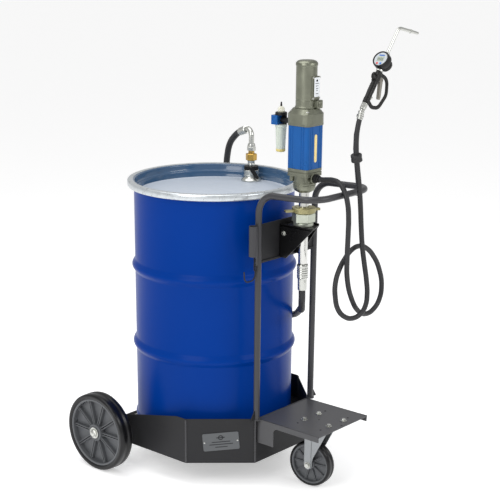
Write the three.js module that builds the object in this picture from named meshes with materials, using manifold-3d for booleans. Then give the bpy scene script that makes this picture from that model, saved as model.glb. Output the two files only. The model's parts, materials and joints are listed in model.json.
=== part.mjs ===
// Mobile gear oil set: an open-head drum on a three-wheeled trolley, an air-operated oil pump on a bracket,
// a suction hose into the drum, and a delivery hose with a metered dispensing gun.
// Millimetres, +Z up. The set stands with -Y as the operator's side and the drum's axis vertical.
import * as THREE from 'three';
import { mergeVertices } from 'three/addons/utils/BufferGeometryUtils.js';
import Module from 'manifold-3d';

const wasm = await Module();
wasm.setup();

// ---------------------------------------------------------------- driving dimensions
const gap = 0.3;                    // running gap left between touching pieces
const seatGap = 0.5;                // gap left around a round piece in its hole
const hoseGap = 1;                  // gap left at each end of a hose

const drumRadius = 286;             // outside of the drum's body
const drumWall = 3;
const drumHeight = 880;
const hoopReach = 11;               // how far a rolling hoop stands out
const hoopHalfHeight = 24;
const lowerHoopUp = 283;            // hoop centres above the drum's base
const upperHoopUp = 572;
const ringReach = 23;               // closing ring outside the drum's body
const ringHeight = 24;
const ringWall = 2;
const lidRecess = 48;
const drumSides = 48;

const skirtHalfWidth = 315;
const skirtFront = 330;
const skirtRear = 290;
const skirtRearHalf = 200;          // half length of the rear plate
const skirtFrontCorner = 148;       // half length of the front plate, and where the side plates begin
const skirtRearCorner = 232;
const skirtBottom = 85;
const skirtTop = 252;
const skirtRearTop = 176;
const skirtSlopeFrom = -105;
const skirtTailTop = 120;           // low edge round the tail, behind the drum
const skirtTailStep = 23;
const floorStraightTo = 60;         // the floor is straight sided to here, then follows the drum
const floorRearRadius = 283;
const sheet = 3;                    // sheet steel of the tray
const floorTop = 162;

const wheelRadius = 143.5;
const wheelRimRadius = 126;
const wheelWidth = 55;
const wheelOutside = 432;           // outer face of each large wheel from the centre line
const axleRadius = 12.5;
const axleY = 195;
const wheelSides = 48;

const casterRadius = 83;
const casterRimRadius = 75;
const casterWidth = 40;
const casterSides = 40;
const casterTrail = 40;
const casterY = -512;
const casterTurn = THREE.MathUtils.degToRad(7);
const casterBoltX = 39;
const casterBoltY = 52;

const platformHalfWidth = 139.5;     // clear of the uprights' feet
const platformFront = -600;
const platformPlate = 4;
const platformFlange = 20;
const platformLegDepth = 90;
const platformLegLength = 72;

const tubeRadius = 11;              // handle tube
const uprightX = 151;
const uprightY = -336;
const handleHeight = 1051;          // rear corners of the handle
const handleFrontHeight = 1060;
const handleFront = -578;
const handleBend = 68;

const cradleBottom = 815;
const cradleTop = 948;
const cradlePlate = 4;
const sleeveRadius = 15;
const sleeveLength = 104;

const pumpY = -407;                 // pump axis in front of the drum
const bracketTop = 931;
const bracketPlate = 4;
const bracketHalfWidth = 43;
const bracketDepthLeft = 140;
const bracketDepthRight = 104;
const bracketDrop = 113;
const gussetRise = 5;
const pumpTubeRadius = 15.7;
const pumpTubeBore = 12.5;
const chromeTubeRadius = 17.2;
const pumpTubeBottom = 796.5;
const collarHeight = 13;
const collarRadius = 34;
const adaptorHexRadius = 40;
const adaptorHexHeight = 33;
const lugRingHeight = 17;
const lugRingRadius = 40.5;
const lugTurn = THREE.MathUtils.degToRad(152);
const lowerHousingBottom = 1047;
const barrelBottom = 1129;
const barrelHeight = 141;
const barrelSide = 87;
const barrelCorner = 11;
const barrelBore = 34;
const headSide = 100;
const headHeight = 56;
const valveRadius = 35;
const valveHeight = 154;
const outletHeight = 1097;
const outletBossRadius = 20;
const outletBossReach = 45;
const outletFittingRadius = 14;
const outletFittingLength = 18;
const rodRadius = 8;

const lubricatorY = -302;
const lubricatorHeight = 1277.5;    // centre of the lubricator's port block
const lubricatorBlock = [27.5, 27.5, 31];
const lubricatorBlockCentre = [-10, -291];
const bowlRadius = 19;
const bowlFootRadius = 15;
const bowlHeight = 83;
const lubricatorHeadRadius = 20.3;

const bungX = 235;                  // the large bung in the lid
const bungY = 29;
const bungThreadRadius = 24;
const couplerFlangeRadius = 37;
const couplerBodyRadius = 28;
const couplerNeckRadius = 13.5;
const couplerCollarRadius = 26;
const dipTubeRadius = 12;
const dipTubeWall = 2;
const unionNutRadius = 21;
const swivelNutRadius = 16.6;
const elbowRadius = 9.8;
const elbowBend = 24;
const elbowFerruleRadius = 15;
const elbowFerruleLength = 46;

const suctionHoseRadius = 12;
const deliveryHoseRadius = 8.5;
const suctionFerruleRadius = 19.5;
const suctionFerruleLength = 90;

const gunPlane = -608;              // vertical plane of the hose loops and the gun, in front of the handle
const gunX = 50;
const gunZ = 1354;
const gunLean = THREE.MathUtils.degToRad(37.3);
const gunNutRadius = 10.4;
const gunNutLength = 21;
const gripLength = 84;
const gripHalfWidth = 11;
const gripHalfThickness = 11;
const gunHeadLength = 34;
const meterRadius = 29;
const meterDepth = 25;
const meterFaceRadius = 24;
const chamberRadius = 21;
const chamberDepth = 24;
const spoutRadius = 5.5;

// ---------------------------------------------------------------- colours
const paint = (color, roughness, metalness = 0) => new THREE.MeshStandardMaterial({ color, roughness, metalness });
const drumBlue = paint(0x003a91, 0.35);
const pumpBlue = paint(0x115faa, 0.4);
const castGrey = paint(0x7c7d72, 0.5, 0.6);
const trayGrey = paint(0x3b3b3d, 0.55);
const tubeGrey = paint(0x4c4d50, 0.45);
const bracketBlack = paint(0x111111, 0.5);
const tyreBlack = paint(0x141416, 0.75);
const rimGrey = paint(0x7f8083, 0.6);
const zinc = paint(0xb8b8ac, 0.3, 0.9);
const brass = paint(0xb5964a, 0.35, 0.9);
const lidGrey = paint(0xbac2cc, 0.4);
const hoseBlack = paint(0x3a3a3c, 0.7);
const gunBlack = paint(0x1b1a18, 0.55);
const clearPlastic = paint(0xe4ebe1, 0.15);
const redButton = paint(0xd22b25, 0.4);
const blueButton = paint(0x1c6fc0, 0.4);

// ---------------------------------------------------------------- building helpers
const root = new THREE.Group();

// Merges shared corners, drops triangles that have collapsed, and turns the faces outward.
function tidy(source) {
  const bare = source.index ? source.toNonIndexed() : source.clone();
  bare.deleteAttribute('normal');
  bare.deleteAttribute('uv');
  const geometry = mergeVertices(bare, 1e-3);
  const index = geometry.index.array;
  const position = geometry.attributes.position;
  const corner = [new THREE.Vector3(), new THREE.Vector3(), new THREE.Vector3()];
  const kept = [];
  let volume = 0;
  for (let i = 0; i < index.length; i += 3) {
    const [a, b, c] = [index[i], index[i + 1], index[i + 2]];
    if (a === b || b === c || c === a) continue;
    [a, b, c].forEach((vertex, k) => corner[k].fromBufferAttribute(position, vertex));
    volume += corner[0].dot(corner[1].clone().cross(corner[2]));
    kept.push(a, b, c);
  }
  if (volume < 0) kept.reverse();
  geometry.setIndex(kept);
  return geometry;
}

function solid(source) {
  const geometry = tidy(source);
  return new wasm.Manifold(new wasm.Mesh({
    numProp: 3,
    vertProperties: new Float32Array(geometry.attributes.position.array),
    triVerts: new Uint32Array(geometry.index.array),
  }));
}

function join(...parts) {
  return parts.map((part) => (part.isBufferGeometry ? solid(part) : part)).reduce((sum, part) => sum.add(part));
}

function cut(body, ...tools) {
  const start = body.isBufferGeometry ? solid(body) : body;
  return tools.map((tool) => (tool.isBufferGeometry ? solid(tool) : tool)).reduce((rest, tool) => rest.subtract(tool), start);
}

function shapeOf(manifold) {
  const mesh = manifold.getMesh();
  const geometry = new THREE.BufferGeometry();
  geometry.setAttribute('position', new THREE.BufferAttribute(new Float32Array(mesh.vertProperties), 3));
  geometry.setIndex(new THREE.BufferAttribute(new Uint32Array(mesh.triVerts), 1));
  return geometry;
}

function add(name, body, material, parent = root) {
  const mesh = new THREE.Mesh(body.isBufferGeometry ? tidy(body) : shapeOf(body), material);
  mesh.name = name;
  parent.add(mesh);
  return mesh;
}

function box(x0, x1, y0, y1, z0, z1) {
  return new THREE.BoxGeometry(x1 - x0, y1 - y0, z1 - z0).translate((x0 + x1) / 2, (y0 + y1) / 2, (z0 + z1) / 2);
}

// Cylinder along one axis, from one end to the other, with its centre line through the two other coordinates.
function cylinder(axis, radius, from, to, centre, sides = 24, endRadius = radius) {
  const shape = new THREE.CylinderGeometry(endRadius, radius, to - from, sides);
  const middle = (from + to) / 2;
  if (axis === 'x') return shape.rotateZ(-Math.PI / 2).translate(middle, centre[0], centre[1]);
  if (axis === 'y') return shape.translate(centre[0], middle, centre[1]);
  return shape.rotateX(Math.PI / 2).translate(centre[0], centre[1], middle);
}

// Turned piece: profile points are [radius, height], about a vertical axis.
function turned(profile, sides, x = 0, y = 0) {
  const points = profile.map(([radius, height]) => new THREE.Vector2(radius, height));
  return new THREE.LatheGeometry(points, sides).rotateX(Math.PI / 2).translate(x, y, 0);
}

function ring(inner, outer, from, to, sides, x = 0, y = 0) {
  return turned([[inner, from], [outer, from], [outer, to], [inner, to], [inner, from]], sides, x, y);
}

function outline(points) {
  return new THREE.Shape(points.map(([x, y]) => new THREE.Vector2(x, y)));
}

// Flat shape in X and Y, from one height to another.
function slab(shape, from, to, curveSegments = 6) {
  const body = new THREE.ExtrudeGeometry(shape, { depth: to - from, bevelEnabled: false, curveSegments });
  return body.translate(0, 0, from);
}

// Flat shape drawn in Y and Z, from one X to another.
function sidePlate(shape, from, to) {
  const body = new THREE.ExtrudeGeometry(shape, { depth: to - from, bevelEnabled: false, curveSegments: 6 });
  return body.rotateY(Math.PI / 2).rotateX(Math.PI / 2).translate(from, 0, 0);
}

// Flat shape drawn in X and Z, from one Y to another.
function frontPlate(shape, from, to) {
  const body = new THREE.ExtrudeGeometry(shape, { depth: to - from, bevelEnabled: false, curveSegments: 6 });
  return body.rotateX(Math.PI / 2).translate(0, to, 0);
}

function roundedSquare(side, corner) {
  const half = side / 2;
  const shape = new THREE.Shape();
  shape.moveTo(half - corner, -half);
  shape.absarc(half - corner, -half + corner, corner, -Math.PI / 2, 0, false);
  shape.absarc(half - corner, half - corner, corner, 0, Math.PI / 2, false);
  shape.absarc(-half + corner, half - corner, corner, Math.PI / 2, Math.PI, false);
  shape.absarc(-half + corner, -half + corner, corner, Math.PI, Math.PI * 1.5, false);
  return shape;
}

function insetOutline(points, distance) {
  return points.map((point, i) => {
    const before = points[(i + points.length - 1) % points.length];
    const after = points[(i + 1) % points.length];
    const one = new THREE.Vector2(point[0] - before[0], point[1] - before[1]).normalize();
    const two = new THREE.Vector2(after[0] - point[0], after[1] - point[1]).normalize();
    const normal = new THREE.Vector2(-one.y - two.y, one.x + two.x).normalize();
    const reach = distance / (normal.x * -one.y + normal.y * one.x);
    return [point[0] + normal.x * reach, point[1] + normal.y * reach];
  });
}

// A route of straight runs and round bends, whose stored points are the rings of the tube made along it.
class Route extends THREE.Curve {
  constructor(points) {
    super();
    this.points = points;
  }

  getPoint(t) {
    return this.points[Math.round(t * (this.points.length - 1))].clone();
  }

  getPointAt(u) {
    return this.getPoint(u);
  }

  getSpacedPoints() {
    return this.points.map((point) => point.clone());
  }

  getTangentAt(u) {
    const i = Math.round(u * (this.points.length - 1));
    const before = this.points[Math.max(i - 1, 0)];
    const after = this.points[Math.min(i + 1, this.points.length - 1)];
    return after.clone().sub(before).normalize();
  }
}

function bentRoute(corners, bend, steps = 6) {
  const points = [corners[0]];
  for (let i = 1; i < corners.length - 1; i += 1) {
    const inward = corners[i - 1].clone().sub(corners[i]).normalize();
    const outward = corners[i + 1].clone().sub(corners[i]).normalize();
    const half = inward.angleTo(outward) / 2;
    const reach = bend / Math.tan(half);
    const centre = inward.clone().add(outward).normalize().multiplyScalar(bend / Math.sin(half)).add(corners[i]);
    const start = inward.clone().multiplyScalar(reach).add(corners[i]).sub(centre);
    const turn = outward.clone().multiplyScalar(reach).add(corners[i]).sub(centre);
    const axis = start.clone().cross(turn).normalize();
    for (let k = 0; k <= steps; k += 1) {
      points.push(start.clone().applyAxisAngle(axis, ((Math.PI - 2 * half) * k) / steps).add(centre));
    }
  }
  points.push(corners[corners.length - 1]);
  return new Route(points);
}

function round(radius, sides) {
  const points = [];
  for (let i = 0; i < sides; i += 1) {
    const angle = (2 * Math.PI * i) / sides;
    points.push([radius * Math.cos(angle), radius * Math.sin(angle)]);
  }
  return outline(points);
}

function bar(section, route) {
  return new THREE.ExtrudeGeometry(section, { steps: route.points.length - 1, extrudePath: route, bevelEnabled: false });
}

function hoseTube(points, radius, steps, sides) {
  const curve = new THREE.CatmullRomCurve3(points.map(([x, y, z]) => new THREE.Vector3(x, y, z)));
  return new THREE.ExtrudeGeometry(round(radius, sides), { steps, extrudePath: curve, bevelEnabled: false });
}

const at = (x, y, z) => new THREE.Vector3(x, y, z);

// Places a piece made along +Z from the origin so that it points from one place towards another.
function aim(geometry, from, towards) {
  const direction = towards.clone().sub(from).normalize();
  geometry.applyQuaternion(new THREE.Quaternion().setFromUnitVectors(at(0, 0, 1), direction));
  return geometry.translate(from.x, from.y, from.z);
}

// ---------------------------------------------------------------- tray and platform
const flatOf = (radius, sides) => radius * Math.cos(Math.PI / sides);
const axleZ = flatOf(wheelRadius, wheelSides);

const trayOutline = [
  [-skirtFrontCorner, -skirtFront], [skirtFrontCorner, -skirtFront],
  [skirtHalfWidth, -skirtFrontCorner], [skirtHalfWidth, skirtRearCorner],
  [skirtRearHalf, skirtRear], [-skirtRearHalf, skirtRear],
  [-skirtHalfWidth, skirtRearCorner], [-skirtHalfWidth, -skirtFrontCorner],
];
const skirtSlope = outline([
  [skirtSlopeFrom, skirtTop], [skirtRearCorner, skirtRearTop], [skirtRearCorner + skirtTailStep, skirtTailTop],
  [skirtRear + 10, skirtTailTop], [skirtRear + 10, skirtTop + 10], [skirtSlopeFrom, skirtTop + 10],
]);

add('base_skirt', cut(
  slab(outline(trayOutline), skirtBottom, skirtTop),
  slab(outline(insetOutline(trayOutline, sheet)), skirtBottom - 1, skirtTop + 1),
  sidePlate(skirtSlope, -skirtHalfWidth - 1, skirtHalfWidth + 1),
  cylinder('x', axleRadius + seatGap, -skirtHalfWidth - 1, skirtHalfWidth + 1, [axleY, axleZ]),
), trayGrey);

const floorInset = sheet + gap;
const frontHalf = skirtFrontCorner - floorInset * Math.tan(Math.PI / 8);
const floorRear = Math.asin(floorStraightTo / floorRearRadius);
const floorShape = outline([
  [-frontHalf, floorInset - skirtFront], [frontHalf, floorInset - skirtFront],
  [skirtHalfWidth - floorInset, -frontHalf], [skirtHalfWidth - floorInset, floorStraightTo],
]);
floorShape.absarc(0, 0, floorRearRadius, floorRear, Math.PI - floorRear, false);
floorShape.lineTo(floorInset - skirtHalfWidth, floorStraightTo);
floorShape.lineTo(floorInset - skirtHalfWidth, -frontHalf);
add('base_floor', slab(floorShape, floorTop - sheet, floorTop, 24), trayGrey);

const platformRear = -skirtFront - gap;
const flangeShape = new THREE.Shape();
flangeShape.moveTo(platformFront, skirtTop - platformFlange);
flangeShape.lineTo(platformFront, skirtTop);
flangeShape.lineTo(platformRear, skirtTop);
flangeShape.lineTo(platformRear, skirtTop - platformLegDepth);
flangeShape.lineTo(platformRear - platformLegLength, skirtTop - platformLegDepth);
flangeShape.lineTo(platformRear - platformLegLength, skirtTop - platformFlange - 17);
flangeShape.quadraticCurveTo(
  platformRear - platformLegLength, skirtTop - platformFlange,
  platformRear - platformLegLength - 17, skirtTop - platformFlange,
);
const platformHoles = [];
for (const [x, y, radius] of [[casterBoltX, casterBoltY, 5], [2 * casterBoltX, casterBoltY - 2, 4]]) {
  for (const [sideX, sideY] of [[-1, -1], [1, -1], [-1, 1], [1, 1]]) {
    platformHoles.push(cylinder('z', radius, skirtTop - 10, skirtTop + 5, [sideX * x, casterY + sideY * y], 10));
  }
}
add('front_platform', cut(join(
  box(-platformHalfWidth, platformHalfWidth, platformFront, platformRear, skirtTop - platformPlate, skirtTop),
  sidePlate(flangeShape, -platformHalfWidth, -platformHalfWidth + platformPlate),
  sidePlate(flangeShape, platformHalfWidth - platformPlate, platformHalfWidth),
), ...platformHoles), trayGrey);

// ---------------------------------------------------------------- handle and cradle
const handleRoute = bentRoute([
  at(-uprightX, uprightY, skirtTop + gap), at(-uprightX, uprightY, handleHeight),
  at(-uprightX, handleFront, handleFrontHeight), at(uprightX, handleFront, handleFrontHeight),
  at(uprightX, uprightY, handleHeight), at(uprightX, uprightY, skirtTop + gap),
], handleBend);
add('handle_frame', bar(round(tubeRadius, 12), handleRoute), tubeGrey);

const cradleEdge = uprightX - tubeRadius - gap;
add('cradle_plate', box(
  -cradleEdge, cradleEdge, uprightY - cradlePlate / 2, uprightY + cradlePlate / 2, cradleBottom, cradleTop,
), trayGrey);

const sleeveX = -uprightX - tubeRadius - sleeveRadius - gap;
const sleeveBottom = cradleTop - sleeveLength;
add('chain_sleeve', join(
  ring(sleeveRadius - 2, sleeveRadius, sleeveBottom, cradleTop, 20, sleeveX, uprightY),
  box(sleeveX - 2, sleeveX + 7, uprightY - sleeveRadius + 0.5, uprightY - sleeveRadius + 2.5, cradleBottom, cradleTop),
), tubeGrey);

// The drum chain's last links and its open hook hang out of the sleeve.
const chainTop = sleeveBottom - gap;
const hookStart = at(sleeveX + 9, uprightY - 2, chainTop - 48);
const hookRoute = bentRoute([
  at(hookStart.x, hookStart.y, chainTop), at(hookStart.x, hookStart.y, hookStart.z - 34),
  at(hookStart.x - 54, hookStart.y, hookStart.z - 34), at(hookStart.x - 57, hookStart.y, hookStart.z + 4),
], 20);
add('drum_chain_hook', bar(round(2.5, 8), hookRoute), trayGrey);

// ---------------------------------------------------------------- wheels
function spokes(count, from, to, width, low, high, faces) {
  const ribs = [];
  for (let i = 0; i < count; i += 1) {
    ribs.push(box(from, to, -width / 2, width / 2, low, high).rotateZ((2 * Math.PI * (i + 0.5)) / count));
  }
  return join(...ribs, ...faces);
}

// Wheel and tyre about a vertical axis with the outer face up, then laid onto the axle.
function wheelPieces(radius, rimRadius, width, hubRadius, bore, sides) {
  const half = width / 2;
  const turn = Math.PI / sides;
  const tyre = turned([
    [rimRadius + gap, -half + 3], [radius - 7, -half], [radius - 1.5, -half + 6], [radius, 0],
    [radius - 1.5, half - 6], [radius - 7, half], [rimRadius + gap, half - 3], [rimRadius + gap, -half + 3],
  ], sides).rotateZ(turn);
  const rimWall = 9;
  const rim = spokes(10, hubRadius - 4, rimRadius - rimWall + 3, 13, -half + 12, half - 9, [
    ring(rimRadius - rimWall, rimRadius, -half + 4, half - 4, sides),
    ring(bore, hubRadius, -half - 1, half + 1, 24),
    ring(hubRadius - 3, rimRadius - rimWall + 2, -4, 4, sides),
  ]).rotate([0, 0, 0]);
  return { tyre, rim: shapeOf(rim).rotateZ(turn) };
}

const wheelX = wheelOutside - wheelWidth / 2;
for (const [side, sign] of [['left', -1], ['right', 1]]) {
  const wheel = wheelPieces(wheelRadius, wheelRimRadius, wheelWidth, 31, axleRadius + seatGap, wheelSides);
  for (const [name, geometry, material] of [['rim', wheel.rim, rimGrey], ['tyre', wheel.tyre, tyreBlack]]) {
    const placed = geometry.rotateY((sign * Math.PI) / 2).translate(sign * wheelX, axleY, axleZ);
    add(`${side}_wheel_${name}`, placed, material);
  }
}
const hubFace = wheelOutside + 1 + gap;
add('rear_axle', join(
  cylinder('x', axleRadius, -hubFace - 1, hubFace + 1, [axleY, axleZ], 20),
  cylinder('x', 18, -hubFace - 8, -hubFace, [axleY, axleZ], 12),
  cylinder('x', 18, hubFace, hubFace + 8, [axleY, axleZ], 12),
), zinc);

// ---------------------------------------------------------------- swivel caster
const caster = new THREE.Group();
caster.position.set(0, casterY, 0);
root.add(caster);
const casterPlateTop = skirtTop - platformPlate - gap;
const racewayBottom = casterPlateTop - 15;
add('caster_plate', join(
  box(-52, 52, -66, 66, casterPlateTop - 5, casterPlateTop),
  cylinder('z', 37, racewayBottom, casterPlateTop - 3, [0, 0], 28),
  cylinder('z', 9.5, racewayBottom - 14, racewayBottom + 2, [0, 0], 16),
), zinc, caster);

const swivel = new THREE.Group();
swivel.rotation.z = casterTurn;
caster.add(swivel);
const casterAxleZ = flatOf(casterRadius, casterSides);
const forkTop = racewayBottom - gap;
const legInside = casterWidth / 2 + 6;
const legShape = new THREE.Shape();
legShape.moveTo(-32, forkTop - 2);
legShape.lineTo(casterTrail - 16, casterAxleZ);
legShape.absarc(casterTrail, casterAxleZ, 16, Math.PI, 0, false);
legShape.lineTo(34, forkTop - 2);
add('caster_fork', cut(join(
  cylinder('z', 38, forkTop - 6, forkTop, [0, 0], 28),
  sidePlate(legShape, -legInside - 4, -legInside),
  sidePlate(legShape, legInside, legInside + 4),
), cylinder('z', 10, forkTop - 8, forkTop + 1, [0, 0], 16),
cylinder('x', 6 + gap, -legInside - 6, legInside + 6, [casterTrail, casterAxleZ], 12)), zinc, swivel);
add('caster_axle', join(
  cylinder('x', 6, -legInside - 6, legInside + 6, [casterTrail, casterAxleZ], 12),
  cylinder('x', 10, -legInside - 11, -legInside - 4 - gap, [casterTrail, casterAxleZ], 6),
  cylinder('x', 10, legInside + 4 + gap, legInside + 11, [casterTrail, casterAxleZ], 6),
), zinc, swivel);
const casterWheel = wheelPieces(casterRadius, casterRimRadius, casterWidth, 19, 6 + seatGap, casterSides);
for (const [name, geometry, material] of [['rim', casterWheel.rim, rimGrey], ['tyre', casterWheel.tyre, tyreBlack]]) {
  add(`caster_wheel_${name}`, geometry.rotateY(-Math.PI / 2).translate(0, casterTrail, casterAxleZ), material, swivel);
}

// ---------------------------------------------------------------- drum, lid and closing ring
const drumBase = floorTop + gap;
const rimZ = drumBase + drumHeight;
const hoop = (up) => [
  [drumRadius, drumBase + up - hoopHalfHeight], [drumRadius + hoopReach * 0.55, drumBase + up - 14],
  [drumRadius + hoopReach, drumBase + up - 4], [drumRadius + hoopReach, drumBase + up + 4],
  [drumRadius + hoopReach * 0.55, drumBase + up + 14], [drumRadius, drumBase + up + hoopHalfHeight],
];
const curlTop = rimZ - ringWall - 4;
add('drum_shell', turned([
  [0, drumBase + 18], [drumRadius - 12, drumBase + 18], [drumRadius - 8, drumBase], [drumRadius + 5, drumBase],
  [drumRadius + 6, drumBase + 12], [drumRadius, drumBase + 16], ...hoop(lowerHoopUp), ...hoop(upperHoopUp),
  [drumRadius, rimZ - ringHeight - 2], [drumRadius + 3, rimZ - ringHeight + 3], [drumRadius + 12, rimZ - ringHeight + 4],
  [drumRadius + 12, curlTop], [drumRadius - drumWall, curlTop], [drumRadius - drumWall, drumBase + 21],
  [0, drumBase + 21],
], drumSides), drumBlue);

const lidTop = rimZ - lidRecess;
const lidRadius = drumRadius - drumWall - gap;
add('drum_lid', cut(turned([
  [0, lidTop - drumWall], [lidRadius, lidTop - drumWall], [lidRadius, curlTop + gap], [drumRadius + 13, curlTop + gap],
  [drumRadius + 13, rimZ - ringWall - gap], [lidRadius - drumWall, rimZ - ringWall - gap],
  [lidRadius - drumWall, lidTop], [0, lidTop],
], drumSides), cylinder('z', bungThreadRadius + seatGap, lidTop - 10, lidTop + 5, [bungX, bungY], 24)), lidGrey);

add('closing_ring', turned([
  [drumRadius + 3.5, rimZ - ringHeight], [drumRadius + ringReach - 3, rimZ - ringHeight],
  [drumRadius + ringReach, rimZ - ringHeight + 4], [drumRadius + ringReach, rimZ - 4],
  [drumRadius + ringReach - 3, rimZ], [drumRadius + 3, rimZ], [drumRadius + 3, rimZ - ringWall],
  [drumRadius + ringReach - ringWall - 3, rimZ - ringWall], [drumRadius + ringReach - ringWall - 3, rimZ - ringHeight + ringWall],
  [drumRadius + 3.5, rimZ - ringHeight + ringWall], [drumRadius + 3.5, rimZ - ringHeight],
], drumSides), zinc);

// ---------------------------------------------------------------- drum coupler and dip tube
const couplerBase = lidTop + gap;
const collarBottom = couplerBase + 41;
const collarTop = collarBottom + 14;
const neckTop = collarTop + 20;
const couplerBore = dipTubeRadius + seatGap;
add('coupler_body', turned([
  [couplerBore, lidTop - 12], [bungThreadRadius - 1, lidTop - 12], [bungThreadRadius - 1, couplerBase],
  [couplerFlangeRadius, couplerBase], [couplerFlangeRadius, couplerBase + 5], [couplerBodyRadius, couplerBase + 14],
  [couplerBodyRadius, collarBottom - gap], [couplerNeckRadius - gap, collarBottom - gap],
  [couplerNeckRadius - gap, collarTop], [couplerNeckRadius, collarTop + gap], [couplerNeckRadius, neckTop],
  [couplerBore, neckTop], [couplerBore, lidTop - 12],
], 28, bungX, bungY), zinc);
const unionTop = neckTop + gap + 25;
add('union_nut', join(
  cylinder('z', unionNutRadius, neckTop + gap, unionTop, [bungX, bungY], 6),
  cylinder('z', 11.5, unionTop - 1, unionTop + 10, [bungX, bungY], 20),
), brass);
const swivelNutBottom = unionTop + 10 + gap;
const swivelNutTop = swivelNutBottom + 26;
add('swivel_nut', join(
  cylinder('z', swivelNutRadius, swivelNutBottom, swivelNutBottom + 15, [bungX, bungY], 6),
  cylinder('z', swivelNutRadius - 2, swivelNutBottom + 14, swivelNutTop, [bungX, bungY], 20, elbowRadius + 3),
), zinc);

const elbowStart = at(bungX, bungY, swivelNutTop + gap);
const elbowCorner = at(bungX, bungY, swivelNutTop + 60);
const elbowAway = at(19, 58, -21).normalize();
const elbowEnd = elbowCorner.clone().addScaledVector(elbowAway, 36);
add('coupler_elbow', bar(round(elbowRadius, 16), bentRoute([elbowStart, elbowCorner, elbowEnd], elbowBend, 8)), zinc);
const ferruleStart = elbowEnd.clone().addScaledVector(elbowAway, gap);
const ferruleEnd = ferruleStart.clone().addScaledVector(elbowAway, elbowFerruleLength);
add('elbow_ferrule', aim(cylinder('z', elbowFerruleRadius, 0, elbowFerruleLength, [0, 0], 20), ferruleStart, ferruleEnd), zinc);

const leverTurn = new THREE.Group();
leverTurn.position.set(bungX, bungY, collarBottom + 4);
leverTurn.rotation.z = THREE.MathUtils.degToRad(-47);
root.add(leverTurn);
const leverFace = -couplerBodyRadius - seatGap;
add('coupler_lever', join(
  ring(couplerNeckRadius + gap / 2, couplerCollarRadius, collarBottom, collarTop, 24).translate(0, 0, -collarBottom - 4),
  frontPlate(outline([
    [-7, 8], [-6, -3], [17, -34], [24, -35], [27, -28], [7, 6], [0, 9],
  ]), leverFace - 5, leverFace),
  cylinder('y', 5, leverFace - 2, -couplerNeckRadius - 2, [0, 3], 16),
), gunBlack, leverTurn);

const dipTubeTop = neckTop - 8;
const dipTubeBottom = drumBase + 33;
add('dip_tube', ring(
  dipTubeRadius - dipTubeWall, dipTubeRadius, dipTubeBottom, dipTubeTop, 20, bungX, bungY,
), zinc);

// ---------------------------------------------------------------- pump bracket
const bracketBack = uprightY - cradlePlate / 2 - gap;
const bracketFrontLeft = bracketBack - bracketDepthLeft;
const bracketFrontRight = bracketBack - bracketDepthRight;
const gusset = (front) => outline([
  [bracketBack, bracketTop + gussetRise], [front, bracketTop + gussetRise], [front + 2, bracketTop - bracketPlate],
  [bracketBack - 29, bracketTop - bracketDrop], [bracketBack, bracketTop - bracketDrop],
]);
const plateInside = bracketHalfWidth - bracketPlate;
add('pump_bracket', cut(join(
  slab(outline([
    [-bracketHalfWidth, bracketBack], [-bracketHalfWidth, bracketFrontLeft + 1],
    [bracketHalfWidth, bracketFrontRight + 1], [bracketHalfWidth, bracketBack],
  ]), bracketTop - bracketPlate, bracketTop),
  box(-bracketHalfWidth, bracketHalfWidth, bracketBack - bracketPlate, bracketBack, bracketTop - bracketDrop, bracketTop),
  sidePlate(gusset(bracketFrontLeft), -bracketHalfWidth, -plateInside),
  sidePlate(gusset(bracketFrontRight), plateInside, bracketHalfWidth),
), cylinder('z', chromeTubeRadius + 3 + seatGap, bracketTop - 10, bracketTop + 1, [0, pumpY], 24)), bracketBlack);

// ---------------------------------------------------------------- pump: suction end
const adaptorBase = bracketTop + gap;
const hexBottom = adaptorBase + collarHeight;
const hexTop = hexBottom + adaptorHexHeight;
const lugRingBottom = hexTop + gap;
const lugRingTop = lugRingBottom + lugRingHeight;
const adaptorBore = pumpTubeRadius + seatGap;
add('bung_adaptor', cut(join(
  cylinder('z', chromeTubeRadius + 3, bracketTop - 16, adaptorBase + 1, [0, pumpY], 24),
  cylinder('z', collarRadius, adaptorBase, hexBottom, [0, pumpY], 32),
  cylinder('z', adaptorHexRadius, hexBottom - 1, hexTop, [0, pumpY], 6),
), cylinder('z', adaptorBore, bracketTop - 20, hexTop + 1, [0, pumpY], 24)), zinc);

const lugs = box(0, 1, -7, 7, lugRingBottom + 3, lugRingBottom + 11);
const lug = (reach) => lugs.clone().scale(reach, 1, 1);
add('lug_ring', cut(join(
  cylinder('z', lugRingRadius, lugRingBottom, lugRingTop, [0, 0], 32),
  lug(69).rotateZ(lugTurn),
  lug(58).rotateZ(lugTurn + Math.PI),
), cylinder('z', chromeTubeRadius + seatGap, lugRingBottom - 1, lugRingTop + 1, [0, 0], 24)).translate([0, pumpY, 0]), zinc);

const pumpTubeTop = lowerHousingBottom - gap;
add('pump_tube', turned([
  [pumpTubeBore, pumpTubeBottom], [pumpTubeRadius, pumpTubeBottom], [pumpTubeRadius, lugRingBottom + 2],
  [chromeTubeRadius, lugRingBottom + 2], [chromeTubeRadius, pumpTubeTop], [pumpTubeBore, pumpTubeTop],
  [pumpTubeBore, pumpTubeBottom],
], 24, 0, pumpY), zinc);

const suctionFerruleTop = pumpTubeBottom - gap;
const suctionFerruleBottom = suctionFerruleTop - suctionFerruleLength;
add('suction_ferrule', turned([
  [0, suctionFerruleBottom], [suctionFerruleRadius - 4, suctionFerruleBottom],
  [suctionFerruleRadius - 3, suctionFerruleBottom + 38], [suctionFerruleRadius, suctionFerruleBottom + 44],
  [suctionFerruleRadius, suctionFerruleTop - 4], [suctionFerruleRadius - 2, suctionFerruleTop],
  [0, suctionFerruleTop],
], 24, 0, pumpY), zinc);

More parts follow.
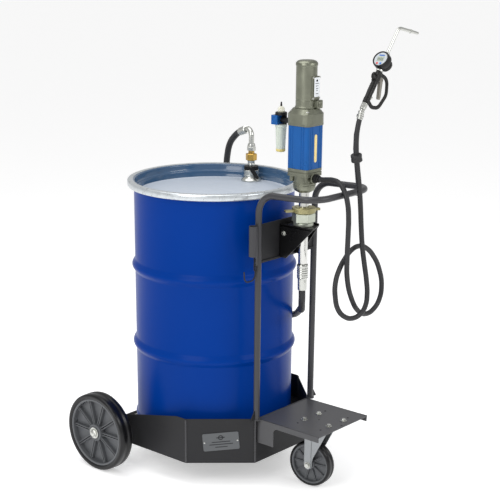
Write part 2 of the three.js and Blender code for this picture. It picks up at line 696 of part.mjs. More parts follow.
// ---------------------------------------------------------------- pump: housing, barrel and motor
const housingTop = barrelBottom - gap;
const outletFace = pumpY - outletBossReach;
add('lower_housing', cut(join(
  turned([
    [0, lowerHousingBottom], [24, lowerHousingBottom], [34, lowerHousingBottom + 7], [37.7, lowerHousingBottom + 18],
    [37.7, housingTop - 5], [0, housingTop - 5],
  ], 32, 0, pumpY),
  slab(roundedSquare(barrelSide, barrelCorner), housingTop - 22, housingTop).translate(0, pumpY, 0),
  cylinder('y', outletBossRadius, outletFace, pumpY - 20, [0, outletHeight], 24),
), cylinder('z', rodRadius + seatGap, lowerHousingBottom - 1, housingTop + 1, [0, pumpY], 20),
cylinder('y', 7, outletFace - 1, pumpY - rodRadius - 3, [0, outletHeight], 12)), castGrey);

const fittingFace = outletFace - gap - outletFittingLength;
add('outlet_fitting', join(
  cylinder('y', outletFittingRadius + 2, outletFace - gap - 8, outletFace - gap, [0, outletHeight], 6),
  cylinder('y', outletFittingRadius - 2, fittingFace, outletFace - gap - 7, [0, outletHeight], 20),
), gunBlack);

const barrelTop = barrelBottom + barrelHeight;
const flutes = [];
for (const turn of [0, 1, 2, 3]) {
  for (const across of [-barrelSide / 4, 0, barrelSide / 4]) {
    const flute = cylinder('z', 2.2, barrelBottom - 1, barrelTop + 1, [barrelSide / 2 + 0.6, across], 8);
    flutes.push(flute.rotateZ((turn * Math.PI) / 2));
  }
}
add('motor_barrel', cut(
  slab(roundedSquare(barrelSide, barrelCorner), barrelBottom, barrelTop),
  cylinder('z', barrelBore, barrelBottom - 1, barrelTop + 1, [0, 0], 32),
  ...flutes,
).translate([0, pumpY, 0]), pumpBlue);

const headBottom = barrelTop + gap;
const headTop = headBottom + headHeight;
add('motor_head', join(
  slab(roundedSquare(headSide - 8, barrelCorner), headBottom, headBottom + 8),
  slab(roundedSquare(headSide, barrelCorner + 2), headBottom + 6, headTop - 18),
  cylinder('z', headSide * 0.64, headTop - 19, headTop, [0, 0], 8, valveRadius + 7).rotateZ(Math.PI / 8),
).translate([0, pumpY, 0]), castGrey);

const valveBottom = headTop + gap;
const valveTop = valveBottom + valveHeight;
const coverX = 6;
const coverHalfWidth = 20;
add('valve_cylinder', join(
  turned([
    [0, valveBottom], [valveRadius, valveBottom], [valveRadius, valveTop - 6], [valveRadius - 6, valveTop], [0, valveTop],
  ], 36, 0, pumpY),
  box(coverX - coverHalfWidth, coverX + coverHalfWidth, pumpY - 38, pumpY - 10, valveBottom + 18, valveBottom + 96),
  box(coverX - 5, coverX + 23, pumpY - 49, pumpY - 10, valveBottom, valveBottom + 24),
), castGrey);

// ---------------------------------------------------------------- pump: moving pieces inside
const pistonTop = barrelTop - 22;
add('air_piston', ring(rodRadius - 1 + seatGap, barrelBore - seatGap, pistonTop - 16, pistonTop, 32, 0, pumpY), gunBlack);
const rodBottom = pumpTubeBottom + 110;
add('piston_rod', join(
  cylinder('z', rodRadius, rodBottom + 8, pistonTop - 16 - gap, [0, pumpY], 16),
  cylinder('z', rodRadius - 1, pistonTop - 17, pistonTop + 6, [0, pumpY], 16),
  cylinder('z', pumpTubeBore - seatGap, rodBottom, rodBottom + 22, [0, pumpY], 20),
), zinc);

// ---------------------------------------------------------------- air lubricator
const [blockX, blockY, blockZ] = lubricatorBlock;
const [blockCentreX, blockCentreY] = lubricatorBlockCentre;
const blockBottom = lubricatorHeight - blockZ / 2;
const blockTop = lubricatorHeight + blockZ / 2;
const headRear = pumpY + headSide / 2;
const portBlock = (clear) => box(
  blockCentreX - blockX / 2 - clear, blockCentreX + blockX / 2 + clear,
  blockCentreY - blockY / 2 - clear, blockCentreY + blockY / 2 + clear, blockBottom - clear, blockTop + clear,
);
add('lubricator_block', portBlock(0), pumpBlue);
add('lubricator_head', cut(join(
  turned([
    [0, blockBottom], [lubricatorHeadRadius, blockBottom], [lubricatorHeadRadius, blockTop + 8],
    [lubricatorHeadRadius - 2, blockTop + 10], [0, blockTop + 10],
  ], 24, 0, lubricatorY),
  cylinder('y', 9, headRear + gap, lubricatorY, [0, lubricatorHeight], 16),
), portBlock(gap)), gunBlack);
add('feed_needle', turned([
  [0, blockTop + 10 + gap], [12, blockTop + 10 + gap], [12.5, blockTop + 19], [7, blockTop + 27],
  [3.2, blockTop + 30], [2.6, blockTop + 38], [0, blockTop + 44],
], 16, 0, lubricatorY), clearPlastic);
const bowlTop = blockBottom - 9;
const bowlBottom = bowlTop - bowlHeight;
add('lubricator_bowl', turned([
  [0, bowlBottom], [bowlFootRadius - 1, bowlBottom], [bowlFootRadius, bowlBottom + 4],
  [bowlRadius, bowlTop], [lubricatorHeadRadius, bowlTop],
  [lubricatorHeadRadius, blockBottom - gap], [bowlRadius - 3, blockBottom - gap],
  [bowlRadius - 3, bowlTop], [bowlFootRadius - 2.5, bowlBottom + 12], [0, bowlBottom + 5],
], 20, 0, lubricatorY), clearPlastic);

// ---------------------------------------------------------------- gun, meter and spout
// The gun is drawn upright, its trigger towards +X, and then leaned over as it sits in its rest.
const gun = new THREE.Group();
gun.position.set(gunX, gunPlane, gunZ);
gun.rotation.y = gunLean;
root.add(gun);

add('gun_nut', cylinder('z', gunNutRadius, -gunNutLength, 0, [0, 0], 6), zinc, gun);

const gunHeadTop = gripLength + gunHeadLength;
const gripSection = new THREE.Shape();
gripSection.absellipse(0, 0, gripHalfWidth, gripHalfThickness, 0, 2 * Math.PI, false, 0);
const triggerX = 23;
const triggerZ = 100;
const ear = outline([[8, triggerZ - 12], [triggerX + 8, triggerZ - 8], [triggerX + 8, triggerZ + 8], [8, triggerZ + 13]]);
const eye = new THREE.TorusGeometry(9.5, 3.5, 8, 18).rotateX(Math.PI / 2).translate(-16, 0, gripLength + 8);
add('gun_body', cut(join(
  slab(gripSection, gap, gripLength),
  slab(roundedSquare(22, 6), gripLength - 3, gripLength + 24),
  cylinder('z', 11, gripLength + 22, gunHeadTop, [0, 0], 20, 9.5),
  cylinder('z', 11, gunHeadTop - 0.5, gunHeadTop + 6 - gap, [0, 0], 20),
  frontPlate(ear, -9.3, -6.5),
  frontPlate(ear, 6.5, 9.3),
  eye,
), cylinder('x', 6 + seatGap, gripHalfWidth - 5, gripHalfWidth + 1, [0, 29], 12)), gunBlack, gun);

const guardRoute = bentRoute([
  at(13.6, 0, 115), at(54, 0, 123), at(83, 0, 82), at(71, 0, 26), at(39, 0, 8), at(13.6, 0, 13),
], 30, 6);
add('trigger_guard', bar(outline([[-3.3, -6], [3.3, -6], [3.3, 6], [-3.3, 6]]), guardRoute), gunBlack, gun);

add('trigger', join(
  frontPlate(outline([
    [triggerX - 3, triggerZ - 8], [46, 50], [50, 45], [56, 48], [triggerX + 10, triggerZ - 2],
  ]), -5, 5),
  cylinder('y', 9, -6, 6, [triggerX, triggerZ], 18),
), rimGrey, gun);
add('latch_button', cylinder('x', 6, gripHalfWidth + gap, gripHalfWidth + 7, [0, 29], 12), zinc, gun);

const unionRingTop = gunHeadTop + 6;
const meterZ = unionRingTop + meterRadius;
const faceX = -23;
add('meter_bezel', cut(
  cylinder('x', meterRadius, faceX, faceX + meterDepth, [0, meterZ], 40),
  cylinder('x', meterFaceRadius + gap, faceX - 1, faceX + 10, [0, meterZ], 32),
), gunBlack, gun);
const buttonSeats = [-6.5, 6.5].map((y) => cylinder('x', 4, faceX, faceX + 6, [y, meterZ - 16.5], 12));
add('meter_face', cut(
  cylinder('x', meterFaceRadius, faceX + 2, faceX + 10 - gap, [0, meterZ], 32), ...buttonSeats,
), lidGrey, gun);
for (const [name, y, material] of [['total_button', 6.5, redButton], ['reset_button', -6.5, blueButton]]) {
  add(name, cylinder('x', 4 - gap, faceX + 0.8, faceX + 4, [y, meterZ - 16.5], 12), material, gun);
}
const chamberFrom = faceX + meterDepth + gap;
add('meter_chamber', cylinder('x', chamberRadius, chamberFrom, chamberFrom + chamberDepth, [0, meterZ], 12), gunBlack, gun);

const spoutBase = meterZ + meterRadius + gap;
const spoutCorner = at(0, 0, spoutBase + 101);
const spoutEnd = at(60, 0, spoutCorner.z + 28);
add('spout_tube', join(
  bar(round(spoutRadius, 14), bentRoute([at(0, 0, spoutBase), spoutCorner, spoutEnd], 20, 6)),
  cylinder('z', 8.5, spoutBase, spoutBase + 6, [0, 0], 14),
), zinc, gun);
const spoutAway = spoutEnd.clone().sub(spoutCorner).normalize();
const tipStart = spoutEnd.clone().addScaledVector(spoutAway, gap);
const tipEnd = spoutEnd.clone().addScaledVector(spoutAway, 48);
add('spout_tip', join(
  aim(cylinder('z', spoutRadius + 1.2, 0, 6, [0, 0], 14), tipStart, tipEnd),
  aim(cylinder('z', spoutRadius, 5, 48, [0, 0], 14, spoutRadius - 1.5), tipStart, tipEnd),
), zinc, gun);

// ---------------------------------------------------------------- hoses and the gun's rest
const hoseEnd = at(22.5, gunPlane, 1305);
const hoseFerruleTop = at(32.5, gunPlane, 1332);
const hoseEndAway = hoseFerruleTop.clone().sub(hoseEnd).normalize();
add('hose_ferrule', aim(cylinder('z', 10.5, 0, 28, [0, 0], 16), hoseEnd, hoseFerruleTop), zinc);

const restY = gunPlane + 33;
const clipCentre = hoseEnd.clone().lerp(hoseFerruleTop, 0.42);
const saddleFrom = THREE.MathUtils.degToRad(-18);
const saddleTo = THREE.MathUtils.degToRad(102);
const saddle = new THREE.Shape();
saddle.absarc(0, 0, 13.5, saddleFrom, saddleTo, false);
saddle.absarc(0, 0, 10.5 + gap, saddleTo, saddleFrom, true);
add('gun_rest', join(
  bar(round(4, 10), bentRoute([
    at(69, restY, handleFrontHeight + tubeRadius + 2), at(52, restY, 1163), at(45, restY, 1205),
    at(46, restY, 1250), at(clipCentre.x + 30, restY, clipCentre.z - 28),
    at(clipCentre.x + 10.5, gunPlane + 8.5, clipCentre.z),
  ], 20, 3)),
  aim(slab(saddle, -4, 4), clipCentre, hoseFerruleTop.clone().add(clipCentre).sub(hoseEnd)),
), tubeGrey);

// Centre lines of the two hoses, from the piece that each leaves to the piece that it enters.
const suctionStart = ferruleEnd.clone().addScaledVector(elbowAway, hoseGap);
const suctionPoints = [
  suctionStart.toArray(), suctionStart.clone().addScaledVector(elbowAway, 12).toArray(),
  [267, 142, 1140], [271, 166, 1112], [273, 180, 1070], [274, 186, 1010], [277, 185, 930],
  [280, 176, 840], [285, 158, 750], [293, 131, 660], [302, 94, 577], [307, 50, 512],
  [306, 0, 486], [302, -52, 482], [291, -104, 490], [268, -156, 507], [231, -205, 532], [188, -248, 560],
  [146, -286, 582], [106, -320, 596], [70, -350, 608], [38, -377, 625], [14, -396, 655], [3, -405, 680],
  [0, pumpY, suctionFerruleBottom - hoseGap - 10], [0, pumpY, suctionFerruleBottom - hoseGap],
];
add('suction_hose', hoseTube(suctionPoints, suctionHoseRadius, 48, 8), hoseBlack);

const deliveryPoints = [
  [0, fittingFace - hoseGap, outletHeight], [0, fittingFace - hoseGap - 10, outletHeight],
  [-2, -503, 1100], [-7, -530, 1103], [-15, -562, 1099], [-24, -592, 1076], [-31, -612, 1037],
  [-32, -618, 990], [-29, -616, 940], [-25, -612, 867], [-18, -610, 786], [13, -608, 709], [58, -606, 656],
  [105, -604, 636], [150, -604, 645], [182, -603, 673], [193, -602, 717], [179, -600, 775], [146, -596, 830],
  [108, -592, 864], [70, -589, 877], [32, -587, 870], [-2, -587, 848], [-34, -589, 818], [-60, -594, 780],
  [-71, -602, 736], [-63, -612, 686], [-39, -623, 660], [-7, -631, 651], [24, -638, 660], [47, -641, 684],
  [56, -640, 724], [56, -635, 770], [52, -627, 825], [46, -621, 881], [42, -618, 930], [36, -613, 1035],
  [30, -610, 1095], [18, gunPlane, 1165], [11, gunPlane, 1209], [11, gunPlane, 1262],
  hoseEnd.clone().addScaledVector(hoseEndAway, -hoseGap - 10).toArray(),
  hoseEnd.clone().addScaledVector(hoseEndAway, -hoseGap).toArray(),
];
add('delivery_hose', hoseTube(deliveryPoints, deliveryHoseRadius, 76, 8), hoseBlack);

// ---------------------------------------------------------------- the origin, under the middle of the set's box
const frontReach = gunPlane - meterRadius;
const rearReach = axleY + flatOf(wheelRadius, wheelSides);
root.position.set(0, -(frontReach + rearReach) / 2, 0);

export default root;
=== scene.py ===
# A mobile gear oil set: a blue steel drum on a three-wheeled tray, an air-operated oil pump on a bracket,
# a suction hose out of the drum's lid, and a delivery hose that ends in a metered gun.
import json
import math

import bmesh
import bpy
from mathutils import Matrix, Vector


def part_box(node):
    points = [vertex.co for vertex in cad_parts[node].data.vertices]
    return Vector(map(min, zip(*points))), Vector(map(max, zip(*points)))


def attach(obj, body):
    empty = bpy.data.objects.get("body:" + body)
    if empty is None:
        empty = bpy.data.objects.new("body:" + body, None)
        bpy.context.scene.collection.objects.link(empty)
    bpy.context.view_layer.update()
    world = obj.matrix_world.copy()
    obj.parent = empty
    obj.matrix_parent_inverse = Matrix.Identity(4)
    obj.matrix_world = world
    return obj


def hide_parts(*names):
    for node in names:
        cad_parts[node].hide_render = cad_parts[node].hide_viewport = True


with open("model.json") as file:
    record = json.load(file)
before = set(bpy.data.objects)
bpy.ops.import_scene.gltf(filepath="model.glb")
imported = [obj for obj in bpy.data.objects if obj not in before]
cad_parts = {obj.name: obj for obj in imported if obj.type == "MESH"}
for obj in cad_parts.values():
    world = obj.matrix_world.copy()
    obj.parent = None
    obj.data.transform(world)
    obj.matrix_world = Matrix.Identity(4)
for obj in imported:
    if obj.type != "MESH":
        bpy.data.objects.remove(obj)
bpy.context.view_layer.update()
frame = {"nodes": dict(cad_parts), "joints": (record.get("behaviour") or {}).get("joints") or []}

# ------------------------------------------------------------------ floor, light and camera
# A pale floor that runs out to a white surround, three large soft lamps, and a long lens that looks down a
# little on the handle's left corner. Places are taken from the drum's axis on the floor.
mm = 0.001
drum_low, drum_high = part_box("drum_shell")
drum_axis = Vector(((drum_low.x + drum_high.x) / 2, (drum_low.y + drum_high.y) / 2, 0))
on_set = Matrix.Translation(drum_axis)

world = bpy.data.worlds.new("studio")
bpy.context.scene.world = world
world.use_nodes = True
backdrop = world.node_tree.nodes["Background"]
backdrop.inputs["Color"].default_value = (1.0, 1.0, 1.0, 1)
backdrop.inputs["Strength"].default_value = 0.55
seen_backdrop = world.node_tree.nodes.new("ShaderNodeBackground")
seen_backdrop.inputs["Color"].default_value = (1.0, 1.0, 1.0, 1)
seen_from = world.node_tree.nodes.new("ShaderNodeLightPath")
either = world.node_tree.nodes.new("ShaderNodeMixShader")
world.node_tree.links.new(seen_from.outputs["Is Camera Ray"], either.inputs[0])
world.node_tree.links.new(backdrop.outputs[0], either.inputs[1])
world.node_tree.links.new(seen_backdrop.outputs[0], either.inputs[2])
world.node_tree.links.new(either.outputs[0], world.node_tree.nodes["World Output"].inputs["Surface"])
bpy.context.scene.view_settings.view_transform = "Standard"
bpy.context.scene.view_settings.look = "None"

floor_paint = bpy.data.materials.new("floor_paint")
floor_paint.use_nodes = True
floor_shader = floor_paint.node_tree.nodes["Principled BSDF"]
floor_shader.inputs["Base Color"].default_value = (0.93, 0.93, 0.93, 1)
floor_shader.inputs["Roughness"].default_value = 0.9
floor_shader.inputs["Emission Color"].default_value = (1.0, 1.0, 1.0, 1)
floor_shader.inputs["Emission Strength"].default_value = 0.42
floor_mesh = bpy.data.meshes.new("floor")
floor_mesh.from_pydata([(-30, -30, -0.001), (30, -30, -0.001), (30, 30, -0.001), (-30, 30, -0.001)], [],
                       [(0, 1, 2, 3)])
floor_mesh.materials.append(floor_paint)
floor = bpy.data.objects.new("floor", floor_mesh)
bpy.context.scene.collection.objects.link(floor)


def soft_lamp(name, place, target, width, height, power):
    lamp = bpy.data.lights.new(name, "AREA")
    lamp.shape = "RECTANGLE"
    lamp.size, lamp.size_y, lamp.energy = width, height, power
    holder = bpy.data.objects.new(name, lamp)
    holder.location = drum_axis + Vector(place)
    holder.rotation_euler = (Vector(target) - Vector(place)).to_track_quat("-Z", "Y").to_euler()
    bpy.context.scene.collection.objects.link(holder)


soft_lamp("left_softbox", (-3.2, -0.6, 2.6), (0, 0, 0.8), 1.6, 2.4, 48)
soft_lamp("front_softbox", (0.6, -3.6, 2.8), (0, 0, 0.7), 2.2, 1.2, 44)
soft_lamp("top_softbox", (-0.4, 0.3, 3.4), (0, 0, 0.9), 2.2, 2.2, 36)

camera_data = bpy.data.cameras.new("camera")
camera_data.sensor_width = 36
camera_data.lens = 94.8
camera_data.shift_x = 0.0714
camera_data.shift_y = 0.206
camera_data.clip_end = 100
camera = bpy.data.objects.new("camera", camera_data)
camera.location = drum_axis + Vector((-3.4321, -3.1121, 1.931))
camera.rotation_euler = (math.radians(90 - 18.45), 0, math.radians(-47.8))
bpy.context.scene.collection.objects.link(camera)
bpy.context.scene.camera = camera

# ------------------------------------------------------------------ the two rubber hoses
# Black cloth-marked rubber hoses. The thick suction hose runs from the coupler's elbow down behind the drum
# and round to the pump's foot. The thinner delivery hose leaves the pump over the handle and hangs in front
# of it in two loops.


def shader_group(name, entries, exits):
    group = bpy.data.node_groups.new(name, "ShaderNodeTree")
    for label, kind, value in entries:
        socket = group.interface.new_socket(label, in_out="INPUT", socket_type=kind)
        socket.default_value = value
    for label, kind in exits:
        group.interface.new_socket(label, in_out="OUTPUT", socket_type=kind)
    return group, group.nodes.new("NodeGroupInput"), group.nodes.new("NodeGroupOutput")


def node(tree, kind, links=None, **settings):
    made = tree.nodes.new(kind)
    for key, value in settings.items():
        setattr(made, key, value)
    for socket, value in (links or {}).items():
        entry = made.inputs[socket]
        if isinstance(value, bpy.types.NodeSocket):
            tree.links.new(value, entry)
        else:
            entry.default_value = value
    return made


def uneven_group():
    # Cloudy and fine changes of colour and gloss, as handling, dust and the coating itself leave them.
    group, entry, leave = shader_group(
        "uneven_surface",
        [("Color", "NodeSocketColor", (0.5, 0.5, 0.5, 1)), ("Roughness", "NodeSocketFloat", 0.5),
         ("Cloud Size", "NodeSocketFloat", 5.0), ("Cloud Depth", "NodeSocketFloat", 0.1),
         ("Grain Size", "NodeSocketFloat", 500.0), ("Grain Depth", "NodeSocketFloat", 0.05),
         ("Gloss Spread", "NodeSocketFloat", 0.1), ("Stretch", "NodeSocketVector", (1, 1, 1))],
        [("Color", "NodeSocketColor"), ("Roughness", "NodeSocketFloat"), ("Height", "NodeSocketFloat")])
    place = node(group, "ShaderNodeTexCoord").outputs["Object"]
    drawn = node(group, "ShaderNodeVectorMath", {0: place, 1: entry.outputs["Stretch"]},
                 operation="MULTIPLY")
    cloud = node(group, "ShaderNodeTexNoise", {"Vector": place, "Scale": entry.outputs["Cloud Size"],
                                               "Detail": 5.0})
    grain = node(group, "ShaderNodeTexNoise",
                 {"Vector": drawn.outputs[0], "Scale": entry.outputs["Grain Size"], "Detail": 3.0})
    off_cloud = node(group, "ShaderNodeMath", {0: cloud.outputs["Fac"], 1: 0.5}, operation="SUBTRACT")
    off_grain = node(group, "ShaderNodeMath", {0: grain.outputs["Fac"], 1: 0.5}, operation="SUBTRACT")
    by_cloud = node(group, "ShaderNodeMath", {0: off_cloud.outputs[0], 1: entry.outputs["Cloud Depth"],
                                              2: 1.0},
                    operation="MULTIPLY_ADD")
    by_both = node(group, "ShaderNodeMath",
                   {0: off_grain.outputs[0], 1: entry.outputs["Grain Depth"], 2: by_cloud.outputs[0]},
                   operation="MULTIPLY_ADD")
    tint = node(group, "ShaderNodeVectorMath", {0: entry.outputs["Color"], "Scale": by_both.outputs[0]},
                operation="SCALE")
    gloss = node(group, "ShaderNodeMath",
                 {0: off_cloud.outputs[0], 1: entry.outputs["Gloss Spread"], 2: entry.outputs["Roughness"]},
                 operation="MULTIPLY_ADD")
    group.links.new(tint.outputs[0], leave.inputs["Color"])
    group.links.new(gloss.outputs[0], leave.inputs["Roughness"])
    group.links.new(grain.outputs["Fac"], leave.inputs["Height"])
    return group


uneven_surface = uneven_group()


def tone(red, green, blue):
    # A colour as seen on a screen, 0 to 255, turned into the shader's linear one.
    return tuple(((c / 255 + 0.055) / 1.055) ** 2.4 if c > 10 else c / 255 / 12.92
                 for c in (red, green, blue)) + (1,)


def finish(name, colour, roughness, metallic=0.0, coat=0.0, cloud=(5.0, 0.12), grain=(500.0, 0.06),
           spread=0.12, bump=0.00004, stretch=(1, 1, 1), specular=0.4):
    material = bpy.data.materials.new(name)
    material.use_nodes = True
    tree = material.node_tree
    shader = tree.nodes["Principled BSDF"]
    shader.inputs["Metallic"].default_value = metallic
    shader.inputs["Coat Weight"].default_value = coat
    shader.inputs["Coat Roughness"].default_value = 0.06
    shader.inputs["Specular IOR Level"].default_value = specular
    uneven = node(tree, "ShaderNodeGroup", node_tree=uneven_surface)
    for label, value in (("Color", colour), ("Roughness", roughness), ("Cloud Size", cloud[0]),
                         ("Cloud Depth", cloud[1]), ("Grain Size", grain[0]), ("Grain Depth", grain[1]),
                         ("Gloss Spread", spread), ("Stretch", stretch)):
        uneven.inputs[label].default_value = value
    tree.links.new(uneven.outputs["Color"], shader.inputs["Base Color"])
    tree.links.new(uneven.outputs["Roughness"], shader.inputs["Roughness"])
    relief = node(tree, "ShaderNodeBump", {"Height": uneven.outputs["Height"], "Distance": bump,
                                           "Strength": 1.0})
    tree.links.new(relief.outputs["Normal"], shader.inputs["Normal"])
    return material


hose_rubber = finish("hose_rubber", tone(38, 38, 40), 0.5, cloud=(14, 0.35), grain=(900, 0.25), bump=0.00012,
                     stretch=(1, 1, 0.25))


def hose(name, route, diameter, body, solid):
    curve = bpy.data.curves.new(name, "CURVE")
    curve.dimensions = "3D"
    curve.resolution_u = 10
    curve.bevel_depth = diameter / 2
    curve.bevel_resolution = 8
    curve.use_fill_caps = True
    spline = curve.splines.new("BEZIER")
    spline.bezier_points.add(len(route) - 1)
    for knot, point in zip(spline.bezier_points, route):
        knot.co = on_set @ (Vector(point) * mm)
        knot.handle_left_type = knot.handle_right_type = "AUTO"
    curve.materials.append(hose_rubber)
    piece = bpy.data.objects.new(name, curve)
    bpy.context.scene.collection.objects.link(piece)
    bpy.context.view_layer.update()
    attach(piece, body)
    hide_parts(solid)
    return piece


elbow_bend = Vector((235, 29, 1191.2))
elbow_away = Vector((19, 58, -21)).normalized()
elbow_end = elbow_bend + elbow_away * 83.3
suction_route = [
    elbow_end, elbow_end + elbow_away * 12, (267, 142, 1140), (271, 166, 1112), (273, 180, 1070),
    (274, 186, 1010),
    (277, 185, 930), (280, 176, 840), (285, 158, 750), (293, 131, 660), (302, 94, 577), (307, 50, 512),
    (306, 0, 486), (302, -52, 482), (291, -104, 490), (268, -156, 507), (231, -205, 532), (188, -248, 560),
    (146, -286, 582), (106, -320, 596), (70, -350, 608), (38, -377, 625), (14, -396, 655), (3, -405, 680),
    (0, -407, 695.2), (0, -407, 705.2),
]
hose("suction_hose_line", suction_route, 0.024, "trolley", "suction_hose")

gun_hose_end = Vector((22.5, -608, 1305))
gun_hose_away = Vector((10, 0, 27)).normalized()
delivery_route = [
    (0, -471.3, 1097), (0, -481.3, 1097), (-2, -503, 1100), (-7, -530, 1103), (-15, -562, 1099),
    (-24, -592, 1076),
    (-31, -612, 1037), (-32, -618, 990), (-29, -616, 940), (-25, -612, 867), (-18, -610, 786),
    (13, -608, 709),
    (58, -606, 656), (105, -604, 636), (150, -604, 645), (182, -603, 673), (193, -602, 717),
    (179, -600, 775),
    (146, -596, 830), (108, -592, 864), (70, -589, 877), (32, -587, 870), (-2, -587, 848), (-34, -589, 818),
    (-60, -594, 780), (-71, -602, 736), (-63, -612, 686), (-39, -623, 660), (-7, -631, 651), (24, -638, 660),
    (47, -641, 684), (56, -640, 724), (56, -635, 770), (52, -627, 825), (46, -621, 881), (42, -618, 930),
    (36, -613, 1035), (30, -610, 1095), (18, -608, 1165), (11, -608, 1209), (11, -608, 1262),
    gun_hose_end - gun_hose_away * 11, gun_hose_end - gun_hose_away * 1,
]
hose("delivery_hose_line", delivery_route, 0.017, "trolley", "delivery_hose")

# ------------------------------------------------------------------ tray
# Folded sheet-steel skirt with welded corners and a maker's plate on its left front face. Its floor is the
# frame's own plate. The shapes below are drawn in millimetres round the drum's axis, as every piece after
# this one is.


def spun(profile, sides=64, axis="z", centre=(0, 0, 0), wave=None):
    # A turned shape. The profile is (radius, height) pairs that start and end on the axis, or close on
    # themselves.
    points, faces, rings = [], [], []
    for radius, height in profile:
        count = sides if radius > 1e-6 else 1
        rings.append(range(len(points), len(points) + count))
        for i in range(count):
            angle = 2 * math.pi * i / sides
            reach = radius + (wave(angle, height) if wave else 0)
            around = (reach * math.cos(angle), reach * math.sin(angle), height)
            points.append(around if count > 1 else (0, 0, height))
    for low, high in zip(rings, rings[1:]):
        for i in range(sides):
            j = (i + 1) % sides
            corners = [low[i % len(low)], low[j % len(low)], high[j % len(high)], high[i % len(high)]]
            faces.append(list(dict.fromkeys(corners)))
    order = {"x": (2, 0, 1), "y": (1, 2, 0), "z": (0, 1, 2)}[axis]
    return [[p[order[k]] + centre[k] for k in range(3)] for p in points], [f for f in faces if len(f) > 2]


def rod(radius, low, high, axis="z", centre=(0, 0, 0), sides=32, chamfer=0.6, end_radius=None):
    far = radius if end_radius is None else end_radius
    return spun([(0, low), (radius - chamfer, low), (radius, low + chamfer), (far, high - chamfer),
                 (far - chamfer, high), (0, high)], sides, axis, centre)


def collar(inner, outer, low, high, axis="z", centre=(0, 0, 0), sides=48, chamfer=0.6, wave=None):
    return spun([(inner, low), (outer - chamfer, low), (outer, low + chamfer), (outer, high - chamfer),
                 (outer - chamfer, high), (inner, high), (inner, low)], sides, axis, centre, wave)


def plate(edge, low, high, axis="z"):
    # A flat shape given thickness. Its two coordinates are x and y, or y and z across x, or x and z across
    # y.
    lift = {"z": lambda a, b, h: (a, b, h), "x": lambda a, b, h: (h, a, b),
            "y": lambda a, b, h: (a, h, b)}[axis]
    count = len(edge)
    points = [lift(a, b, low) for a, b in edge] + [lift(a, b, high) for a, b in edge]
    sides = [[i, (i + 1) % count, (i + 1) % count + count, i + count] for i in range(count)]
    return points, [list(range(count)), list(range(count, 2 * count))] + sides


def softened(corners, radius, steps=5):
    # The same closed edge with each corner rounded.
    edge = []
    for i, corner in enumerate(corners):
        here = Vector(corner)
        back = (Vector(corners[i - 1]) - here).normalized()
        ahead = (Vector(corners[(i + 1) % len(corners)]) - here).normalized()
        half = back.angle(ahead) / 2
        if half > math.pi / 2 - 0.02:
            edge.append(tuple(here))
            continue
        start, end = here + back * radius / math.tan(half), here + ahead * radius / math.tan(half)
        centre = here + (back + ahead).normalized() * radius / math.sin(half)
        for k in range(steps + 1):
            between = (start - centre).lerp(end - centre, k / steps)
            edge.append(tuple(centre + between.normalized() * radius))
    return edge


def oblong(width, height, corner, x=0, y=0, steps=5):
    a, b = width / 2, height / 2
    return softened([(x - a, y - b), (x + a, y - b), (x + a, y + b), (x - a, y + b)], corner, steps)


def circle(radius, sides=24, x=0, y=0, turn=0.0):
    return [(x + radius * math.cos(turn + 2 * math.pi * i / sides),
             y + radius * math.sin(turn + 2 * math.pi * i / sides))
            for i in range(sides)]


def bent(corners, radius, steps=10):
    # A route of straight runs and round bends through the corners.
    corners = [Vector(c) for c in corners]
    route = [corners[0]]
    for before, here, after in zip(corners, corners[1:], corners[2:]):
        back, ahead = (before - here).normalized(), (after - here).normalized()
        half = back.angle(ahead) / 2
        centre = here + (back + ahead).normalized() * radius / math.sin(half)
        arm = here + back * radius / math.tan(half) - centre
        axis = arm.cross(here + ahead * radius / math.tan(half) - centre).normalized()
        for k in range(steps + 1):
            route.append(centre + Matrix.Rotation((math.pi - 2 * half) * k / steps, 3, axis) @ arm)
    return route + [corners[-1]]


def swept(route, section, swell=None, closed=False):
    # A section carried along a route without twisting, as a tube or a bent bar is.
    route = [Vector(p) for p in route]
    count, sides = len(route), len(section)
    points, up = [], None
    for i, place in enumerate(route):
        before = route[i - 1] if i or closed else place
        after = route[(i + 1) % count] if i < count - 1 or closed else place
        ahead = (after - before).normalized()
        if up is None:
            up = Vector((0, 1, 0)) if abs(ahead.y) < 0.9 else Vector((0, 0, 1))
        up = (up - ahead * up.dot(ahead)).normalized()
        side = ahead.cross(up)
        grow = swell[i] if swell else 1.0
        points += [tuple(place + (side * a + up * b) * grow) for a, b in section]
    faces = []
    for i in range(count if closed else count - 1):
        for k in range(sides):
            one, two = i * sides, ((i + 1) % count) * sides
            faces.append([one + k, one + (k + 1) % sides, two + (k + 1) % sides, two + k])
    if not closed:
        faces += [list(range(sides)), list(range((count - 1) * sides, count * sides))]
    return points, faces


def moved(shell, matrix):
    return [tuple(matrix @ Vector(p)) for p in shell[0]], shell[1]


def facing(place, away, turn=0.0):
    # The frame of something that stands on a place and points away from it.
    look = Vector(away).to_track_quat("Z", "Y").to_matrix().to_4x4()
    return Matrix.Translation(Vector(place)) @ look @ Matrix.Rotation(turn, 4, "Z")


def bolt(place, away, reach=7.5, height=6, washer=9.5, turn=0.3):
    # A hexagon head with its turned chamfer, on a washer.
    head = spun([(0, 1.8), (reach * 0.94, 1.8), (reach, 2.6), (reach, height + 0.6),
                 (reach * 0.86, height + 1.8), (0, height + 2)], 6)
    base = collar(reach * 0.5, washer, 0, 1.8, sides=32, chamfer=0.4)
    stand = facing(place, away, turn)
    return [moved(head, stand), moved(base, stand)]


